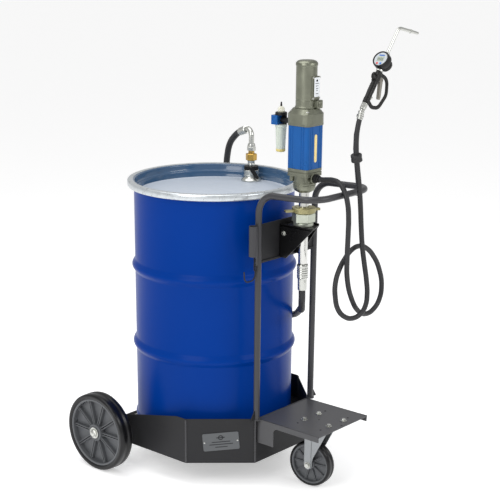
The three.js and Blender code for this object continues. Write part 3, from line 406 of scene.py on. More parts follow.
def piece(name, shells, material, body, slot_name, nodes=(), bevel=0.0, angle=35, place=on_set):
    points, faces = [], []
    for shell_points, shell_faces in shells:
        start = len(points)
        points += [Vector(p) * mm for p in shell_points]
        faces += [[start + i for i in face] for face in shell_faces]
    mesh = bpy.data.meshes.new(name)
    mesh.from_pydata(points, [], faces)
    shape = bmesh.new()
    shape.from_mesh(mesh)
    bmesh.ops.remove_doubles(shape, verts=shape.verts, dist=0.000002)
    bmesh.ops.recalc_face_normals(shape, faces=shape.faces)
    shape.to_mesh(mesh)
    shape.free()
    mesh.transform(place)
    mesh.materials.append(material)
    mesh.shade_smooth()
    mesh.set_sharp_from_angle(angle=math.radians(angle))
    made = bpy.data.objects.new(name, mesh)
    bpy.context.scene.collection.objects.link(made)
    if bevel:
        rounding = made.modifiers.new("edges", "BEVEL")
        rounding.width = bevel * mm
        rounding.segments = 2
        rounding.limit_method = "ANGLE"
        rounding.angle_limit = math.radians(angle)
        rounding.harden_normals = True
    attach(made, body)
    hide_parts(*nodes)
    return made


def dress(name, material, angle=35):
    # A frame piece that is fine enough as it is, given its real finish.
    mesh = frame["nodes"][name].data
    mesh.materials.clear()
    mesh.materials.append(material)
    mesh.shade_smooth()
    mesh.set_sharp_from_angle(angle=math.radians(angle))


tray_paint = finish("tray_paint", tone(36, 36, 38), 0.48, cloud=(4, 0.12), grain=(700, 0.08), bump=0.00003,
                    specular=0.25)
weld_steel = finish("weld_steel", tone(70, 70, 72), 0.5, metallic=0.3, cloud=(40, 0.5), grain=(300, 0.3),
                    bump=0.0002)
plate_silver = finish("plate_silver", tone(92, 94, 96), 0.36, metallic=0.6, cloud=(20, 0.15),
                      grain=(260, 0.15), stretch=(1, 1, 30))
plate_ink = finish("plate_ink", tone(22, 24, 28), 0.45, cloud=(30, 0.2), grain=(400, 0.1))
plate_blue = finish("plate_blue", tone(30, 92, 168), 0.4, cloud=(30, 0.2), grain=(400, 0.1))
bright_zinc = finish("bright_zinc", tone(196, 197, 192), 0.26, metallic=0.95, cloud=(26, 0.25),
                     grain=(420, 0.14), spread=0.25, bump=0.00003)

tray_edge = [(-148, -330), (148, -330), (315, -148), (315, 232), (200, 290), (-200, 290), (-315, 232),
             (-315, -148)]


def inside_edge(corners, distance):
    edge = []
    for i, corner in enumerate(corners):
        one = (Vector(corner) - Vector(corners[i - 1])).normalized()
        two = (Vector(corners[(i + 1) % len(corners)]) - Vector(corner)).normalized()
        normal = Vector((-one.y - two.y, one.x + two.x)).normalized()
        edge.append(tuple(Vector(corner) + normal * distance / normal.dot(Vector((-one.y, one.x)))))
    return edge


skirt_bottom, front_top, rear_top, tail_top = 85, 252, 176, 120
slope_start, rear_corner, tail_step = -105, 232, 23


def skirt_top(y):
    # Level at the front, then sloping back, then stepping down round the tail.
    if y < slope_start:
        return front_top
    if y < rear_corner:
        return front_top - (front_top - rear_top) * (y - slope_start) / (rear_corner - slope_start)
    return max(tail_top, rear_top - (rear_top - tail_top) * (y - rear_corner) / tail_step)


def cut_at_slopes(corners):
    # Adds the points where the top edge changes its slope.
    edge = []
    for i, corner in enumerate(corners):
        following = corners[(i + 1) % len(corners)]
        edge.append(corner)
        low, high = sorted((corner[1], following[1]))
        breaks = [y for y in (slope_start, rear_corner + tail_step) if low < y < high]
        for y in sorted(breaks, reverse=corner[1] > following[1]):
            share = (y - corner[1]) / (following[1] - corner[1])
            edge.append((corner[0] + (following[0] - corner[0]) * share, y))
    return edge


outside = cut_at_slopes(softened(tray_edge, 9, 4))
within = cut_at_slopes(softened(inside_edge(tray_edge, 3), 6, 4))
skirt_points, skirt_faces = [], []
for outer, inner in zip(outside, within):
    top = skirt_top(outer[1])
    skirt_points += [(*outer, skirt_bottom), (*outer, top), (*inner, top), (*inner, skirt_bottom)]
for i in range(len(outside)):
    one, two = 4 * i, 4 * ((i + 1) % len(outside))
    skirt_faces += [[one + k, two + k, two + (k + 1) % 4, one + (k + 1) % 4] for k in range(4)]
piece("tray_skirt", [(skirt_points, skirt_faces)], tray_paint, "trolley", "tray_paint", ["base_skirt"],
      bevel=0.8)
dress("base_floor", tray_paint)

beads = []
for x, y in ((-150, -331), (150, -331), (-315.5, -150), (315.5, -150)):
    run = [Vector((x * 0.996, y * 0.996, 88 + 4 * k)) for k in range(41)]
    beads.append(swept(run, circle(3.4, 10), [1 + 0.22 * math.sin(2.4 * k + x) for k in range(41)]))
piece("tray_welds", beads, weld_steel, "trolley", "tray_paint")

label_turn = Matrix(((0.676, 0, -0.737, 0), (-0.737, 0, -0.676, 0), (0, 1, 0, 0), (0, 0, 0, 1)))
label_frame = Matrix.Translation((-230.5, -240.6, 168)) @ label_turn @ Matrix.Rotation(0.09, 4, "Z")
piece("maker_plate", [moved(plate(oblong(128, 66, 6), 0.2, 1.6), label_frame)], plate_silver, "trolley",
      "zinc", bevel=0.4)
mark = [spun([(5.5, 1.5), (9, 1.5), (9, 1.9), (5.5, 1.9), (5.5, 1.5)], 40, centre=(0, 15, 0)),
        plate(oblong(30, 3.4, 1.2, 0, 15), 1.5, 1.9)]
lines = [plate(oblong(width, 3.2, 1, 0, y), 1.5, 1.8) for y, width in ((-1, 66), (-10, 84), (-20, 44))]
piece("maker_plate_lines", [moved(shell, label_frame) for shell in mark + lines], plate_ink, "trolley",
      "tray_paint")
rivets = [moved(spun([(0, 1.4), (3.2, 1.4), (2.8, 2.6), (1.4, 3.3), (0, 3.5)], 16),
                label_frame @ Matrix.Translation((x, 0, 0)))
          for x in (-58.5, 58.5)]
piece("maker_plate_rivets", rivets, bright_zinc, "trolley", "zinc")

# ------------------------------------------------------------------ front platform
# A folded plate in front of the drum, in the tray's paint made a little lighter as painted light, with two
# side flanges. It is welded to the tray and carries the swivel caster on four bolts.
platform_front, platform_back, platform_top = -600, -330.3, 252
flange = [(platform_front, 232), (platform_front, platform_top), (platform_back, platform_top),
          (platform_back, 162), (-402.3, 162), (-402.3, 215)]
flange += [(-402.3 - 17 * (1 - math.cos(a)), 215 + 17 * math.sin(a))
           for a in [math.pi * k / 16 for k in range(1, 9)]]
# The tray's own paint, made lighter here as painted light on the upward-facing plate and its flanges.
platform_lit_paint = finish("platform_lit_paint", tone(78, 78, 80), 0.36, cloud=(4, 0.12), grain=(700, 0.08),
                        bump=0.00003, specular=0.3)
platform_side, sheet = 139.5, 4
platform_edge = [(-platform_side, platform_front), (platform_side, platform_front),
                 (platform_side, platform_back), (-platform_side, platform_back)]
piece("platform", [plate(platform_edge, platform_top - sheet, platform_top),
                   plate(flange, -platform_side, sheet - platform_side, "x"),
                   plate(flange, platform_side - sheet, platform_side, "x")],
      platform_lit_paint, "trolley", "tray_paint", ["front_platform"], bevel=1.2)
# The platform's holes are not cut: thin near-black discs on the plate are painted shade where each hole
# would be dark.
dark_hole_discs = [rod(4 if abs(x) > 60 else 3, 251.8, 252.2, centre=(x, y, 0), sides=20, chamfer=0.1)
         for x, y in ((-78, -462), (78, -462), (-78, -562), (78, -562), (-4, -498), (4, -590))]
painted_hole_shade = finish("painted_hole_shade", tone(8, 8, 8), 0.7, cloud=(50, 0.2), grain=(900, 0.2))
piece("platform_hole_shade", dark_hole_discs, painted_hole_shade, "trolley", "tray_paint")
platform_bolts = []
for x, y in ((-38, -459), (40, -463), (-32, -562), (45, -568)):
    platform_bolts += bolt((x, y, platform_top), (0, 0, 1), 8.5, 6, 11.5, turn=0.02 * x)
piece("platform_bolts", platform_bolts, bright_zinc, "trolley", "zinc", bevel=0.3)
seams = []
for side in (-1, 1):
    run = [Vector((side * (20 + 2.9 * k), -331.2, 251)) for k in range(41)]
    seams.append(swept(run, circle(2.6, 8), [1 + 0.2 * math.sin(2.2 * k) for k in range(41)]))
piece("platform_seam", seams, weld_steel, "trolley", "tray_paint")

# ------------------------------------------------------------------ handle, cradle and chain
# One bent steel tube, welded to the tray at both feet, with a cradle plate across its uprights. A short
# sleeve on the left upright takes the drum chain, whose last links and open hook hang out of it.
tube_paint = finish("tube_paint", tone(58, 58, 61), 0.34, cloud=(9, 0.12), grain=(600, 0.08), bump=0.00003,
                    specular=0.35)
upright_x, upright_y, foot_height = 151, -336, 252.3
back_height, front_height, front_y = 1051, 1060, -578
handle_bend = 68
left_side = [(-upright_x, upright_y, foot_height), (-upright_x, upright_y, back_height),
             (-upright_x, front_y, front_height)]
handle_route = bent(left_side + [(-x, y, z) for x, y, z in left_side[::-1]], handle_bend, 16)
piece("handle_tube", [swept(handle_route, circle(11, 28))], tube_paint, "trolley", "tube_paint",
      ["handle_frame"])
feet = []
for x in (-upright_x, upright_x):
    loop = [(x + 12.2 * math.cos(a * math.pi / 16), upright_y + 12.2 * math.sin(a * math.pi / 16), 253.6)
            for a in range(32)]
    feet.append(swept(loop, circle(2.6, 8), [1 + 0.2 * math.sin(1.9 * k) for k in range(32)], closed=True))
piece("handle_welds", feet, weld_steel, "trolley", "tube_paint")
gussets = [plate([(side * 162.5, 253), (side * 186, 253), (side * 162.5, 288)], -338, -334, "y")
           for side in (-1, 1)]
piece("foot_gussets", gussets, tray_paint, "trolley", "tray_paint", bevel=0.8)
piece("cradle", [plate(oblong(279.4, 133, 10, 0, 881.5), -338, -334, "y"),
                 plate(oblong(279.4, 8, 3, 0, 819), -342, -337, "y")],
      tray_paint, "trolley", "tray_paint", ["cradle_plate"], bevel=0.9)
piece("chain_sleeve_tube", [collar(13, 15, 844, 948, centre=(-177.3, -336, 0), chamfer=0.5),
                            plate([(-179.3, -350.5), (-170.3, -350.5), (-170.3, -348.5), (-179.3, -348.5)],
                                  815, 948),
                            plate(oblong(12, 60, 3, -165.5, 898), -338, -334, "y")],
      tube_paint, "trolley", "tube_paint", ["chain_sleeve"], bevel=0.4)
link_edge = [(5 * math.cos(a), 5 * math.sin(a) + (6.5 if math.sin(a) > 0 else -6.5))
             for a in [2 * math.pi * (k + 0.5) / 24 for k in range(24)]]
links = []
for k, z in enumerate((838, 821, 804)):
    loop = [(a, 0, b) if k % 2 else (0, a, b) for a, b in link_edge]
    links.append(moved(swept(loop, circle(2.1, 8), closed=True), Matrix.Translation((-168.3, -338, z))))
hook_route = bent([(-168.3, -338, 797), (-168.3, -338, 761.7), (-222.3, -338, 761.7), (-225.3, -338, 799.7)],
                  20)
links.append(swept(hook_route, circle(2.5, 12)))
piece("chain_and_hook", links, tray_paint, "chain_hook", "tray_paint", ["drum_chain_hook"])

# ------------------------------------------------------------------ axle and large wheels
# Two glossy rubber tyres on moulded grey rims with doubled ribs, on one zinc-plated axle with washers and
# domed nuts.
tyre_rubber = finish("tyre_rubber", tone(15, 15, 17), 0.3, cloud=(10, 0.3), grain=(800, 0.2), spread=0.2,
                     bump=0.00005, specular=0.35)
rim_plastic = finish("rim_plastic", tone(90, 92, 95), 0.45, cloud=(12, 0.15), grain=(900, 0.12),
                     bump=0.00005)


def wheel(name, radius, rim, width, hub, bore, body, place, nodes):
    # A tyre with rolled shoulders on a moulded rim: lip, web, hub and ten pairs of ribs on each side.
    half = width / 2
    shoulder = [(rim + 0.3, 3), (rim + 4, 1.2), (radius - 9, 0.2), (radius - 5, 0.6), (radius - 2.2, 2.4),
                (radius - 0.9, 5.5), (radius - 0.3, half * 0.45), (radius, half * 0.7),
                (radius - 1.2, half * 0.76)]
    near = [(r, h - half) for r, h in shoulder]
    far = [(r, half - h) for r, h in shoulder[::-1]]
    profile = near + [(radius - 1.2, 0)] + far
    profile.append(profile[0])
    piece(name + "_tyre", [spun(profile, 96)], tyre_rubber, body, "tyre_rubber", [nodes[1]], angle=50,
          place=place)
    wall = rim - 9
    lip = [(wall, 5 - half), (wall + 2, 3 - half), (rim - 2, 3 - half), (rim, 5 - half), (rim, half - 5),
           (rim - 2, half - 2.4), (wall + 2, half - 2.4), (wall, half - 5), (wall, 5 - half)]
    web = [(hub - 3, -4), (wall + 2, -4), (wall + 2, 4), (hub - 3, 4), (hub - 3, -4)]
    boss = [(bore, -half - 1), (hub - 2, -half - 1), (hub, 1 - half), (hub, half - 1), (hub - 2, half + 1),
            (hub - 6, half + 1), (hub - 7, half - 1.5), (bore + 3, half - 1.5), (bore + 3, half + 1),
            (bore, half + 1), (bore, -half - 1)]
    shells = [spun(lip, 96), spun(web, 96), spun(boss, 48)]
    for i in range(10):
        turn = Matrix.Rotation(2 * math.pi * (i + 0.5) / 10, 4, "Z")
        for off in (-0.026 * radius, 0.026 * radius):
            for sign in (-1, 1):
                rib = plate([(hub - 2, 3.5 * sign), (wall + 1, 3.5 * sign), (wall + 1, sign * (half - 10)),
                             (wall - 8, sign * (half - 11)), (hub + 8, sign * (half - 8)),
                             (hub - 2, sign * (half - 7))],
                            off - 1.6, off + 1.6, "y")
                shells.append(moved(rib, turn))
    piece(name + "_rim", shells, rim_plastic, body, "rim_plastic", [nodes[0]], bevel=0.5, place=place)


axle_y, axle_z, wheel_x, axle_half = 195, 143.19, 404.5, 434.3
for side, sign in (("left", -1), ("right", 1)):
    axle_frame = Matrix.Translation((sign * wheel_x * mm, axle_y * mm,
                                     axle_z * mm)) @ Matrix.Rotation(sign * math.pi / 2, 4, "Y")
    wheel(side + "_wheel", 143.5, 126, 55, 31, 13, side + "_wheel", on_set @ axle_frame,
          [side + "_wheel_rim", side + "_wheel_tyre"])
axle_shells = [rod(12.5, -axle_half, axle_half, "x", (0, axle_y, axle_z))]
for sign in (-1, 1):
    end = facing((sign * 433.4, axle_y, axle_z), (sign, 0, 0), 0.2)
    axle_shells.append(moved(collar(11, 21, 0, 2.4, chamfer=0.5), end))
    axle_shells.append(moved(spun([(0, 2), (15, 2), (15.6, 2.8), (15.6, 7), (13.6, 8.6), (0, 8.6)], 6), end))
    axle_shells.append(moved(spun([(0, 8), (11.5, 8), (10.6, 11), (7.5, 13.4), (3, 14.6), (0, 14.8)], 32),
                             end))
piece("axle_and_nuts", axle_shells, bright_zinc, "trolley", "zinc", ["rear_axle"], bevel=0.3)

# ------------------------------------------------------------------ swivel caster
# A pressed zinc fork under a bolted top plate with a ball race, and a smaller wheel of the same make.
caster_zinc = finish("caster_zinc", tone(150, 153, 155), 0.34, metallic=0.8, cloud=(16, 0.25),
                     grain=(300, 0.12), spread=0.25, bump=0.00005)
caster_frame = on_set @ Matrix.Translation((0, -512 * mm, 0))
piece("caster_top", [plate(oblong(104, 132, 10), 240.7, 245.7),
                     spun([(0, 230.7), (30, 230.7), (35, 231.5), (37, 234), (37, 238), (35, 241), (0, 241)],
                          48),
                     rod(9.5, 216.7, 232, sides=24)], caster_zinc, "trolley", "zinc", ["caster_plate"],
      bevel=0.5, place=caster_frame)
swivel_frame = caster_frame @ Matrix.Rotation(math.radians(7), 4, "Z")
trail, caster_z = 40, 82.74
foot_arc = [(trail - 16 * math.cos(a), caster_z - 16 * math.sin(a))
            for a in [math.pi * k / 12 for k in range(13)]]
leg = [(-33, 228), (-31, 214), (20, 112), (24, 96)] + foot_arc + [(56, 196), (50, 228)]
strap = [(27, 224), (27, 96)] + [(trail + (y - trail) * 0.8, z)
                                 for y, z in foot_arc] + [(53, 196), (48, 224)]
fork = [spun([(10.4, 224.4), (36, 224.4), (38, 226), (38, 229), (36, 230.4), (10.4, 230.4), (10.4, 224.4)],
             48)]
for side in (-1, 1):
    fork.append(plate(leg, *sorted((side * 26, side * 29)), "x"))
    fork.append(plate(strap, *sorted((side * 28.5, side * 31.5)), "x"))
piece("caster_fork_legs", fork, caster_zinc, "caster_swivel", "zinc", ["caster_fork"], bevel=0.9,
      place=swivel_frame)
caster_bolt = [rod(6, -30, 30, "x", (0, trail, caster_z), 20)]
caster_bolt += bolt((-31.6, trail, caster_z), (-1, 0, 0), 9.5, 6,
                    12) + bolt((31.6, trail, caster_z), (1, 0, 0), 9.5, 6, 12)
piece("caster_bolt", caster_bolt, bright_zinc, "caster_swivel", "zinc", ["caster_axle"], bevel=0.3,
      place=swivel_frame)
wheel("caster_wheel", 83, 75, 40, 19, 6.5, "caster_wheel",
      swivel_frame @ Matrix.Translation((0, trail * mm, caster_z * mm)) @ Matrix.Rotation(-math.pi / 2, 4,
                                                                                          "Y"),
      ["caster_wheel_rim", "caster_wheel_tyre"])

# ------------------------------------------------------------------ drum, lid and closing ring
# A deep blue glossy steel drum with two rolling hoops. Its grey lid is sunk below the rim, with painted
# shade and painted reflection in dark steel-blue on its sunk wall, and a lever-closed ring of galvanised
# steel holds it.
drum_paint = finish("drum_paint", tone(0, 52, 136), 0.3, cloud=(3.5, 0.08), grain=(260, 0.03),
                    spread=0.08, bump=0.00002, specular=0.06)
lid_paint = finish("lid_paint", tone(184, 192, 203), 0.5, cloud=(6, 0.05), grain=(500, 0.05), spread=0.15,
                   specular=0.3)
# The lid's sunk wall is the same grey pressing as its floor; its dark glossy steel-blue is painted shade and
# painted reflection.
lid_wall_shade_paint = finish("lid_wall_shade_paint", tone(56, 86, 118), 0.16, coat=0.5, cloud=(5, 0.2),
                        grain=(300, 0.08))
ring_paint = finish("ring_paint", tone(200, 205, 208), 0.3, metallic=0.7, cloud=(60, 0.5), grain=(300, 0.2),
                    spread=0.2, bump=0.00006)
base, rim_z, lid_z = 162.3, 1042.3, 994.3
body_radius, hoop_reach = 286, 11


def hoop(up):
    return [(body_radius + hoop_reach * (0.5 + 0.5 * math.cos(math.pi * t / 10)) ** 0.8, base + up + 2.4 * t)
            for t in range(-10, 11)]


shell = [(0, base + 18), (272, base + 18), (276, base + 15), (278, base + 3), (281, base), (288, base),
         (291, base + 1.5), (292, base + 5), (291, base + 9), (288, base + 12), (body_radius, base + 17)]
shell += hoop(283) + hoop(572)
shell += [(body_radius, rim_z - 30), (287, rim_z - 25), (291, rim_z - 21.5), (296, rim_z - 20.5),
          (298, rim_z - 18),
          (298, rim_z - 9), (296, rim_z - 6), (283, rim_z - 6), (283, base + 21), (0, base + 21)]
piece("drum_body", [spun(shell, 160)], drum_paint, "trolley", "drum_paint", ["drum_shell"], angle=60)
lid_floor = [(0, lid_z - 3), (281.5, lid_z - 3), (281.5, lid_z), (272, lid_z), (268, lid_z - 1.6),
             (262, lid_z - 1.6), (258, lid_z), (0, lid_z)]
piece("lid_panel", [spun(lid_floor, 128)], lid_paint, "trolley", "lid_paint", ["drum_lid"], angle=60)
# The sunk wall and top flange of the lid, given the dark steel-blue of painted shade and reflection instead
# of the lid's grey.
lid_wall = [(282.7, lid_z - 3), (282.7, rim_z - 5.7), (297, rim_z - 5.7), (299, rim_z - 4),
            (297, rim_z - 2.3),
            (285, rim_z - 2.3), (283.4, rim_z - 4), (282.6, rim_z - 7), (282.4, lid_z + 26),
            (280.6, lid_z + 23), (278.4, lid_z + 21), (278, lid_z + 18), (278, lid_z + 6), (276, lid_z + 1),
            (276, lid_z - 3), (282.7, lid_z - 3)]
piece("lid_wall", [spun(lid_wall, 128)], lid_wall_shade_paint, "trolley", "lid_paint", angle=60)
band = [(289.5, rim_z - 24), (303, rim_z - 24), (307, rim_z - 22.5), (309, rim_z - 19), (309, rim_z - 5),
        (307, rim_z - 1.5), (303, rim_z), (291, rim_z), (289, rim_z - 1), (289, rim_z - 2), (304, rim_z - 2),
        (307, rim_z - 5), (307, rim_z - 19), (304, rim_z - 22), (289.5, rim_z - 22), (289.5, rim_z - 24)]
piece("closing_band", [spun(band, 160)], ring_paint, "trolley", "zinc", ["closing_ring"], angle=50)

# ------------------------------------------------------------------ drum coupler
# A plated flange and body screwed into the lid's bung, a black locking collar with its lever, a brass union,
# and a bent steel elbow with a crimped ferrule that the suction hose leaves by.
bung = (235, 29, 0)
black_plastic = finish("black_plastic", tone(20, 20, 21), 0.42, cloud=(18, 0.3), grain=(900, 0.25),
                       bump=0.00008, spread=0.2, specular=0.3)
brass = finish("brass", tone(196, 160, 84), 0.28, metallic=0.95, cloud=(30, 0.2), grain=(420, 0.12),
               spread=0.2)
coupler = [(12.5, 982), (23, 982), (23, 994.6), (36, 994.6), (37, 996), (37, 999), (35, 1001.2), (30, 1006),
           (28, 1010), (28, 1017), (27, 1018), (27, 1020), (28, 1021), (28, 1034.3), (27, 1035.3),
           (13.2, 1035.3),
           (13.2, 1049.8), (13.5, 1051), (13.5, 1058), (12.9, 1059), (12.9, 1061), (13.5, 1062),
           (13.5, 1069.6), (12.5, 1069.6), (12.5, 982)]
piece("coupler_base", [spun(coupler, 64, centre=bung)], bright_zinc, "trolley", "zinc", ["coupler_body"])
dress("dip_tube", bright_zinc)
nut = [(0, 1069.9), (19, 1069.9), (21, 1071.5), (21, 1093.3), (19, 1094.9), (11.5, 1094.9), (11.5, 1104),
       (10.8, 1104.9), (0, 1104.9)]
piece("brass_union", [spun(nut[:5] + [(0, 1094.9)], 6, centre=bung),
                      spun([(0, 1094)] + nut[5:], 40, centre=bung)], brass, "trolley", "brass",
      ["union_nut"], bevel=0.5)
piece("hose_nut", [spun([(0, 1105.2), (15.4, 1105.2), (16.6, 1106.6), (16.6, 1118.8), (15.4, 1120.2),
                         (0, 1120.2)], 6,
                        centre=bung),
                   spun([(0, 1119), (14.6, 1119), (14.6, 1123), (13, 1129), (12.6, 1131.2), (0, 1131.2)], 40,
                        centre=bung)], bright_zinc, "trolley", "zinc", ["swivel_nut"], bevel=0.5)
elbow_route = bent([(235, 29, 1131.5), elbow_bend, elbow_bend + elbow_away * 36], 24, 14)
piece("elbow_tube", [swept(elbow_route, circle(9.8, 28))], bright_zinc, "trolley", "zinc", ["coupler_elbow"])


def crimped(length, radius, grooves, start=0.0):
    # A pressed hose ferrule: a turned sleeve with rows of crimped grooves and a rolled end.
    profile = [(0, 0), (radius - 1.4, 0), (radius, 1.4)]
    step = (length - 8) / grooves
    for i in range(grooves):
        z = 4 + step * i
        profile += [(radius, z), (radius - 1.3, z + 0.22 * step), (radius - 1.3, z + 0.5 * step),
                    (radius, z + 0.72 * step)]
    profile += [(radius, length - 1.6), (radius - 1.6, length), (0, length)]
    return [(r, start + z) for r, z in profile]


def crimp_wave(depth, count):
    return lambda angle, height: -depth * max(0.0, math.cos(count * angle)) ** 2


elbow_sleeve = facing(elbow_bend + elbow_away * 36.3, elbow_away)
piece("elbow_sleeve", [moved(spun(crimped(46, 15, 5), 64, wave=crimp_wave(0.8, 8)), elbow_sleeve)],
      bright_zinc, "trolley", "zinc", ["elbow_ferrule"], angle=40)
lever_frame = on_set @ Matrix.Translation((235 * mm, 29 * mm,
                                           1039.6 * mm)) @ Matrix.Rotation(math.radians(-47), 4, "Z")
lever = softened([(-7, 8), (-6, -3), (17, -34), (24, -35), (27, -28), (7, 6), (0, 9)], 2, 3)
piece("locking_collar", [collar(13.8, 26, -4, 10, sides=96,
                                wave=lambda a, h: -0.7 * max(0, math.cos(24 * a))),
                         plate(lever, -33.5, -28.5, "y"), rod(5, -30.5, -15, "y", (0, 0, 3)),
                         rod(4.2, -34.3, -33, "y", (0, 0, 3))],
      black_plastic, "coupler_collar", "gun_plastic", ["coupler_lever"], bevel=0.7, place=lever_frame)

# ------------------------------------------------------------------ pump bracket, adaptor and suction tube
# A folded black bracket on the cradle. The pump stands in it on a hexagonal adaptor with a lugged ring nut,
# and its bright tube runs down to the suction hose's crimped ferrule.
bracket_paint = finish("bracket_paint", tone(14, 14, 15), 0.28, cloud=(14, 0.3), grain=(700, 0.2),
                       bump=0.00005, specular=0.3)
yellow_zinc = finish("yellow_zinc", tone(164, 158, 118), 0.36, metallic=0.85, cloud=(30, 0.4),
                     grain=(500, 0.2), spread=0.25, bump=0.00006)
pale_zinc = finish("pale_zinc", tone(196, 202, 188), 0.36, metallic=0.8, cloud=(24, 0.25), grain=(420, 0.15),
                   spread=0.25, bump=0.00006)
chrome_steel = finish("chrome_steel", tone(206, 206, 202), 0.14, metallic=1.0, cloud=(30, 0.12),
                      grain=(300, 0.06), spread=0.12, stretch=(1, 1, 0.1), bump=0.00002)
steel_back = -338.3
left_front, right_front = steel_back - 140, steel_back - 104
bracket_edge = softened([(-43, steel_back), (-43, left_front + 1), (43, right_front + 1), (43, steel_back)],
                        2, 2)


def gusset(front):
    return softened([(steel_back, 936), (front, 936), (front + 2, 927), (steel_back - 29, 818),
                     (steel_back, 818)], 3, 3)


piece("bracket_plates", [plate(bracket_edge, 927, 931),
                         plate(oblong(86, 113, 3, 0, 874.5), steel_back - 4, steel_back, "y"),
                         plate(gusset(left_front), -43, -39, "x"), plate(gusset(right_front), 39, 43, "x")],
      bracket_paint, "trolley", "bracket_paint", ["pump_bracket"], bevel=0.7)
bracket_bolts = []
for place, away in (((-43, -356, 903), (-1, 0, 0)), ((-28, -342.4, 850), (0, -1, 0)),
                    ((28, -342.4, 850), (0, -1, 0)), ((43, -356, 903), (1, 0, 0))):
    bracket_bolts += bolt(place, away, 6.5, 4.5, 9)
piece("bracket_bolts", bracket_bolts, bright_zinc, "trolley", "zinc", bevel=0.3)
pump_y = -407
pump = (0, pump_y, 0)
piece("hex_adaptor", [rod(20.2, 915, 932, centre=pump, sides=40),
                      spun([(0, 931.3), (33, 931.3), (34, 932.5), (34, 942), (32, 944.3), (0, 944.3)], 64,
                           centre=pump),
                      spun([(0, 943.6), (37, 943.6), (40, 946.4), (40, 974), (37, 977.3), (0, 977.3)], 6,
                           centre=pump)],
      pale_zinc, "trolley", "zinc", ["bung_adaptor"], bevel=0.7)
lug_frame = on_set @ Matrix.Translation((0, pump_y * mm, 0)) @ Matrix.Rotation(math.radians(152), 4, "Z")
piece("lug_nut_ring", [collar(17.7, 40.5, 977.6, 994.6, chamfer=1.2, sides=64),
                       collar(17.7, 30, 994, 996.4, chamfer=0.8),
                       plate([(30, 980.6), (66, 980.6), (69, 983), (69, 986), (66, 988.6), (30, 988.6)],
                             -7, 7, "y"),
                       plate([(-58, 980.6), (-30, 980.6), (-30, 988.6), (-58, 988.6)], -7, 7, "y")],
      yellow_zinc, "lug_nut", "zinc", ["lug_ring"], bevel=1.0, place=lug_frame)
piece("bright_tube", [spun([(12.5, 796.5), (15.2, 796.5), (15.7, 797), (15.7, 979), (17.2, 980),
                            (17.2, 1046.7), (12.5, 1046.7), (12.5, 796.5)], 64, centre=pump)],
      chrome_steel, "trolley", "chrome_steel", ["pump_tube"], angle=50)
foot = [(0, 706.2), (15, 706.2), (15.6, 707.2), (16, 742), (16.5, 746)]
for i in range(5):
    foot += [(19.5, 750.2 + 8 * i), (18.2, 752.2 + 8 * i), (18.2, 754.6 + 8 * i), (19.5, 756.6 + 8 * i)]
foot += [(19.5, 793), (18, 796.2), (0, 796.2)]


def foot_crimp(angle, height):
    return -0.9 * max(0, math.cos(6 * angle + 1)) ** 2 if height > 748 else 0


piece("suction_sleeve", [spun(foot, 64, centre=pump, wave=foot_crimp)], bright_zinc, "trolley", "zinc",
      ["suction_ferrule"], angle=40)

# ------------------------------------------------------------------ housing, air motor and valve cylinder
# Warm grey castings below and above a blue extruded barrel, joined by four tie bolts. The valve cylinder on
# top has a flat cover and a square boss, and the outlet port faces the handle.
cast_metal = finish("cast_metal", tone(126, 128, 114), 0.36, metallic=0.9, cloud=(34, 0.5), grain=(800, 0.3),
                    spread=0.3, bump=0.00015)
pump_blue = finish("pump_blue", tone(14, 88, 160), 0.3, metallic=0.35, cloud=(18, 0.15), grain=(500, 0.1),
                   stretch=(1, 1, 0.05), spread=0.15, bump=0.00004)
sight_gold = finish("sight_gold", tone(246, 222, 150), 0.3, cloud=(30, 0.15), grain=(300, 0.08), coat=0.3)
label_white = finish("label_white", tone(226, 230, 234), 0.4, cloud=(16, 0.08), grain=(400, 0.06))
housing = [(0, 1047), (23, 1047), (25, 1048.5), (33, 1053), (36, 1058), (37.7, 1066), (37.7, 1119),
           (0, 1119)]
shells = [spun(housing, 64, centre=pump), plate(oblong(87, 87, 11, 0, pump_y), 1103, 1117),
          plate(oblong(83, 83, 11, 0, pump_y), 1117, 1120),
          plate(oblong(87, 87, 11, 0, pump_y), 1120, 1128.7),
          rod(20, -452, -387, "y", (0, 0, 1097), 48, 1.2)]
for x in (-30, 30):
    for y in (-437, -377):
        shells.append(rod(7.5, 1084, 1105, centre=(x, y, 0), sides=24, chamfer=1.5))
for z in (1070, 1078):
    shells.append(collar(37, 39, z, z + 3, centre=pump, sides=64, chamfer=0.9))
piece("lower_casting", shells, cast_metal, "trolley", "cast_grey", ["lower_housing"], bevel=0.9)
port = facing((0, -452.3, 1097), (0, -1, 0))
piece("outlet_port", [moved(spun([(0, 0), (15, 0), (16, 1), (16, 7), (15, 8), (0, 8)], 6), port),
                      moved(spun([(0, 7), (12, 7), (12, 16.6), (11, 18), (0, 18)], 32), port)],
      black_plastic, "trolley", "bracket_paint", ["outlet_fitting"], bevel=0.4)


def fluted(side, corner, across, depth, width):
    # A square extrusion's edge with grooves in each face.
    edge = []
    half = side / 2
    for turn in range(4):
        face = [(half, -half + corner)]
        for place in across:
            face += [(half, place - width), (half - depth, place - width * 0.5),
                     (half - depth, place + width * 0.5), (half, place + width)]
        face += [(half, half - corner)]
        for k in range(1, 6):
            a = math.pi / 2 * k / 6
            face.append((half - corner + corner * math.cos(a), half - corner + corner * math.sin(a)))
        c, s = math.cos(turn * math.pi / 2), math.sin(turn * math.pi / 2)
        edge += [(x * c - y * s, x * s + y * c + pump_y) for x, y in face]
    return edge


piece("barrel_extrusion", [plate(fluted(87, 11, (-27, -18, 18, 27), 1.8, 2.4), 1129, 1270)], pump_blue,
      "trolley", "pump_blue", ["motor_barrel"], bevel=0.5)
piece("sight_strip", [plate(oblong(13, 92, 6, 0, 1197), -451.4, -450.2, "y")], sight_gold, "trolley",
      "brass", bevel=0.4)
dress("air_piston", black_plastic)
dress("piston_rod", chrome_steel)


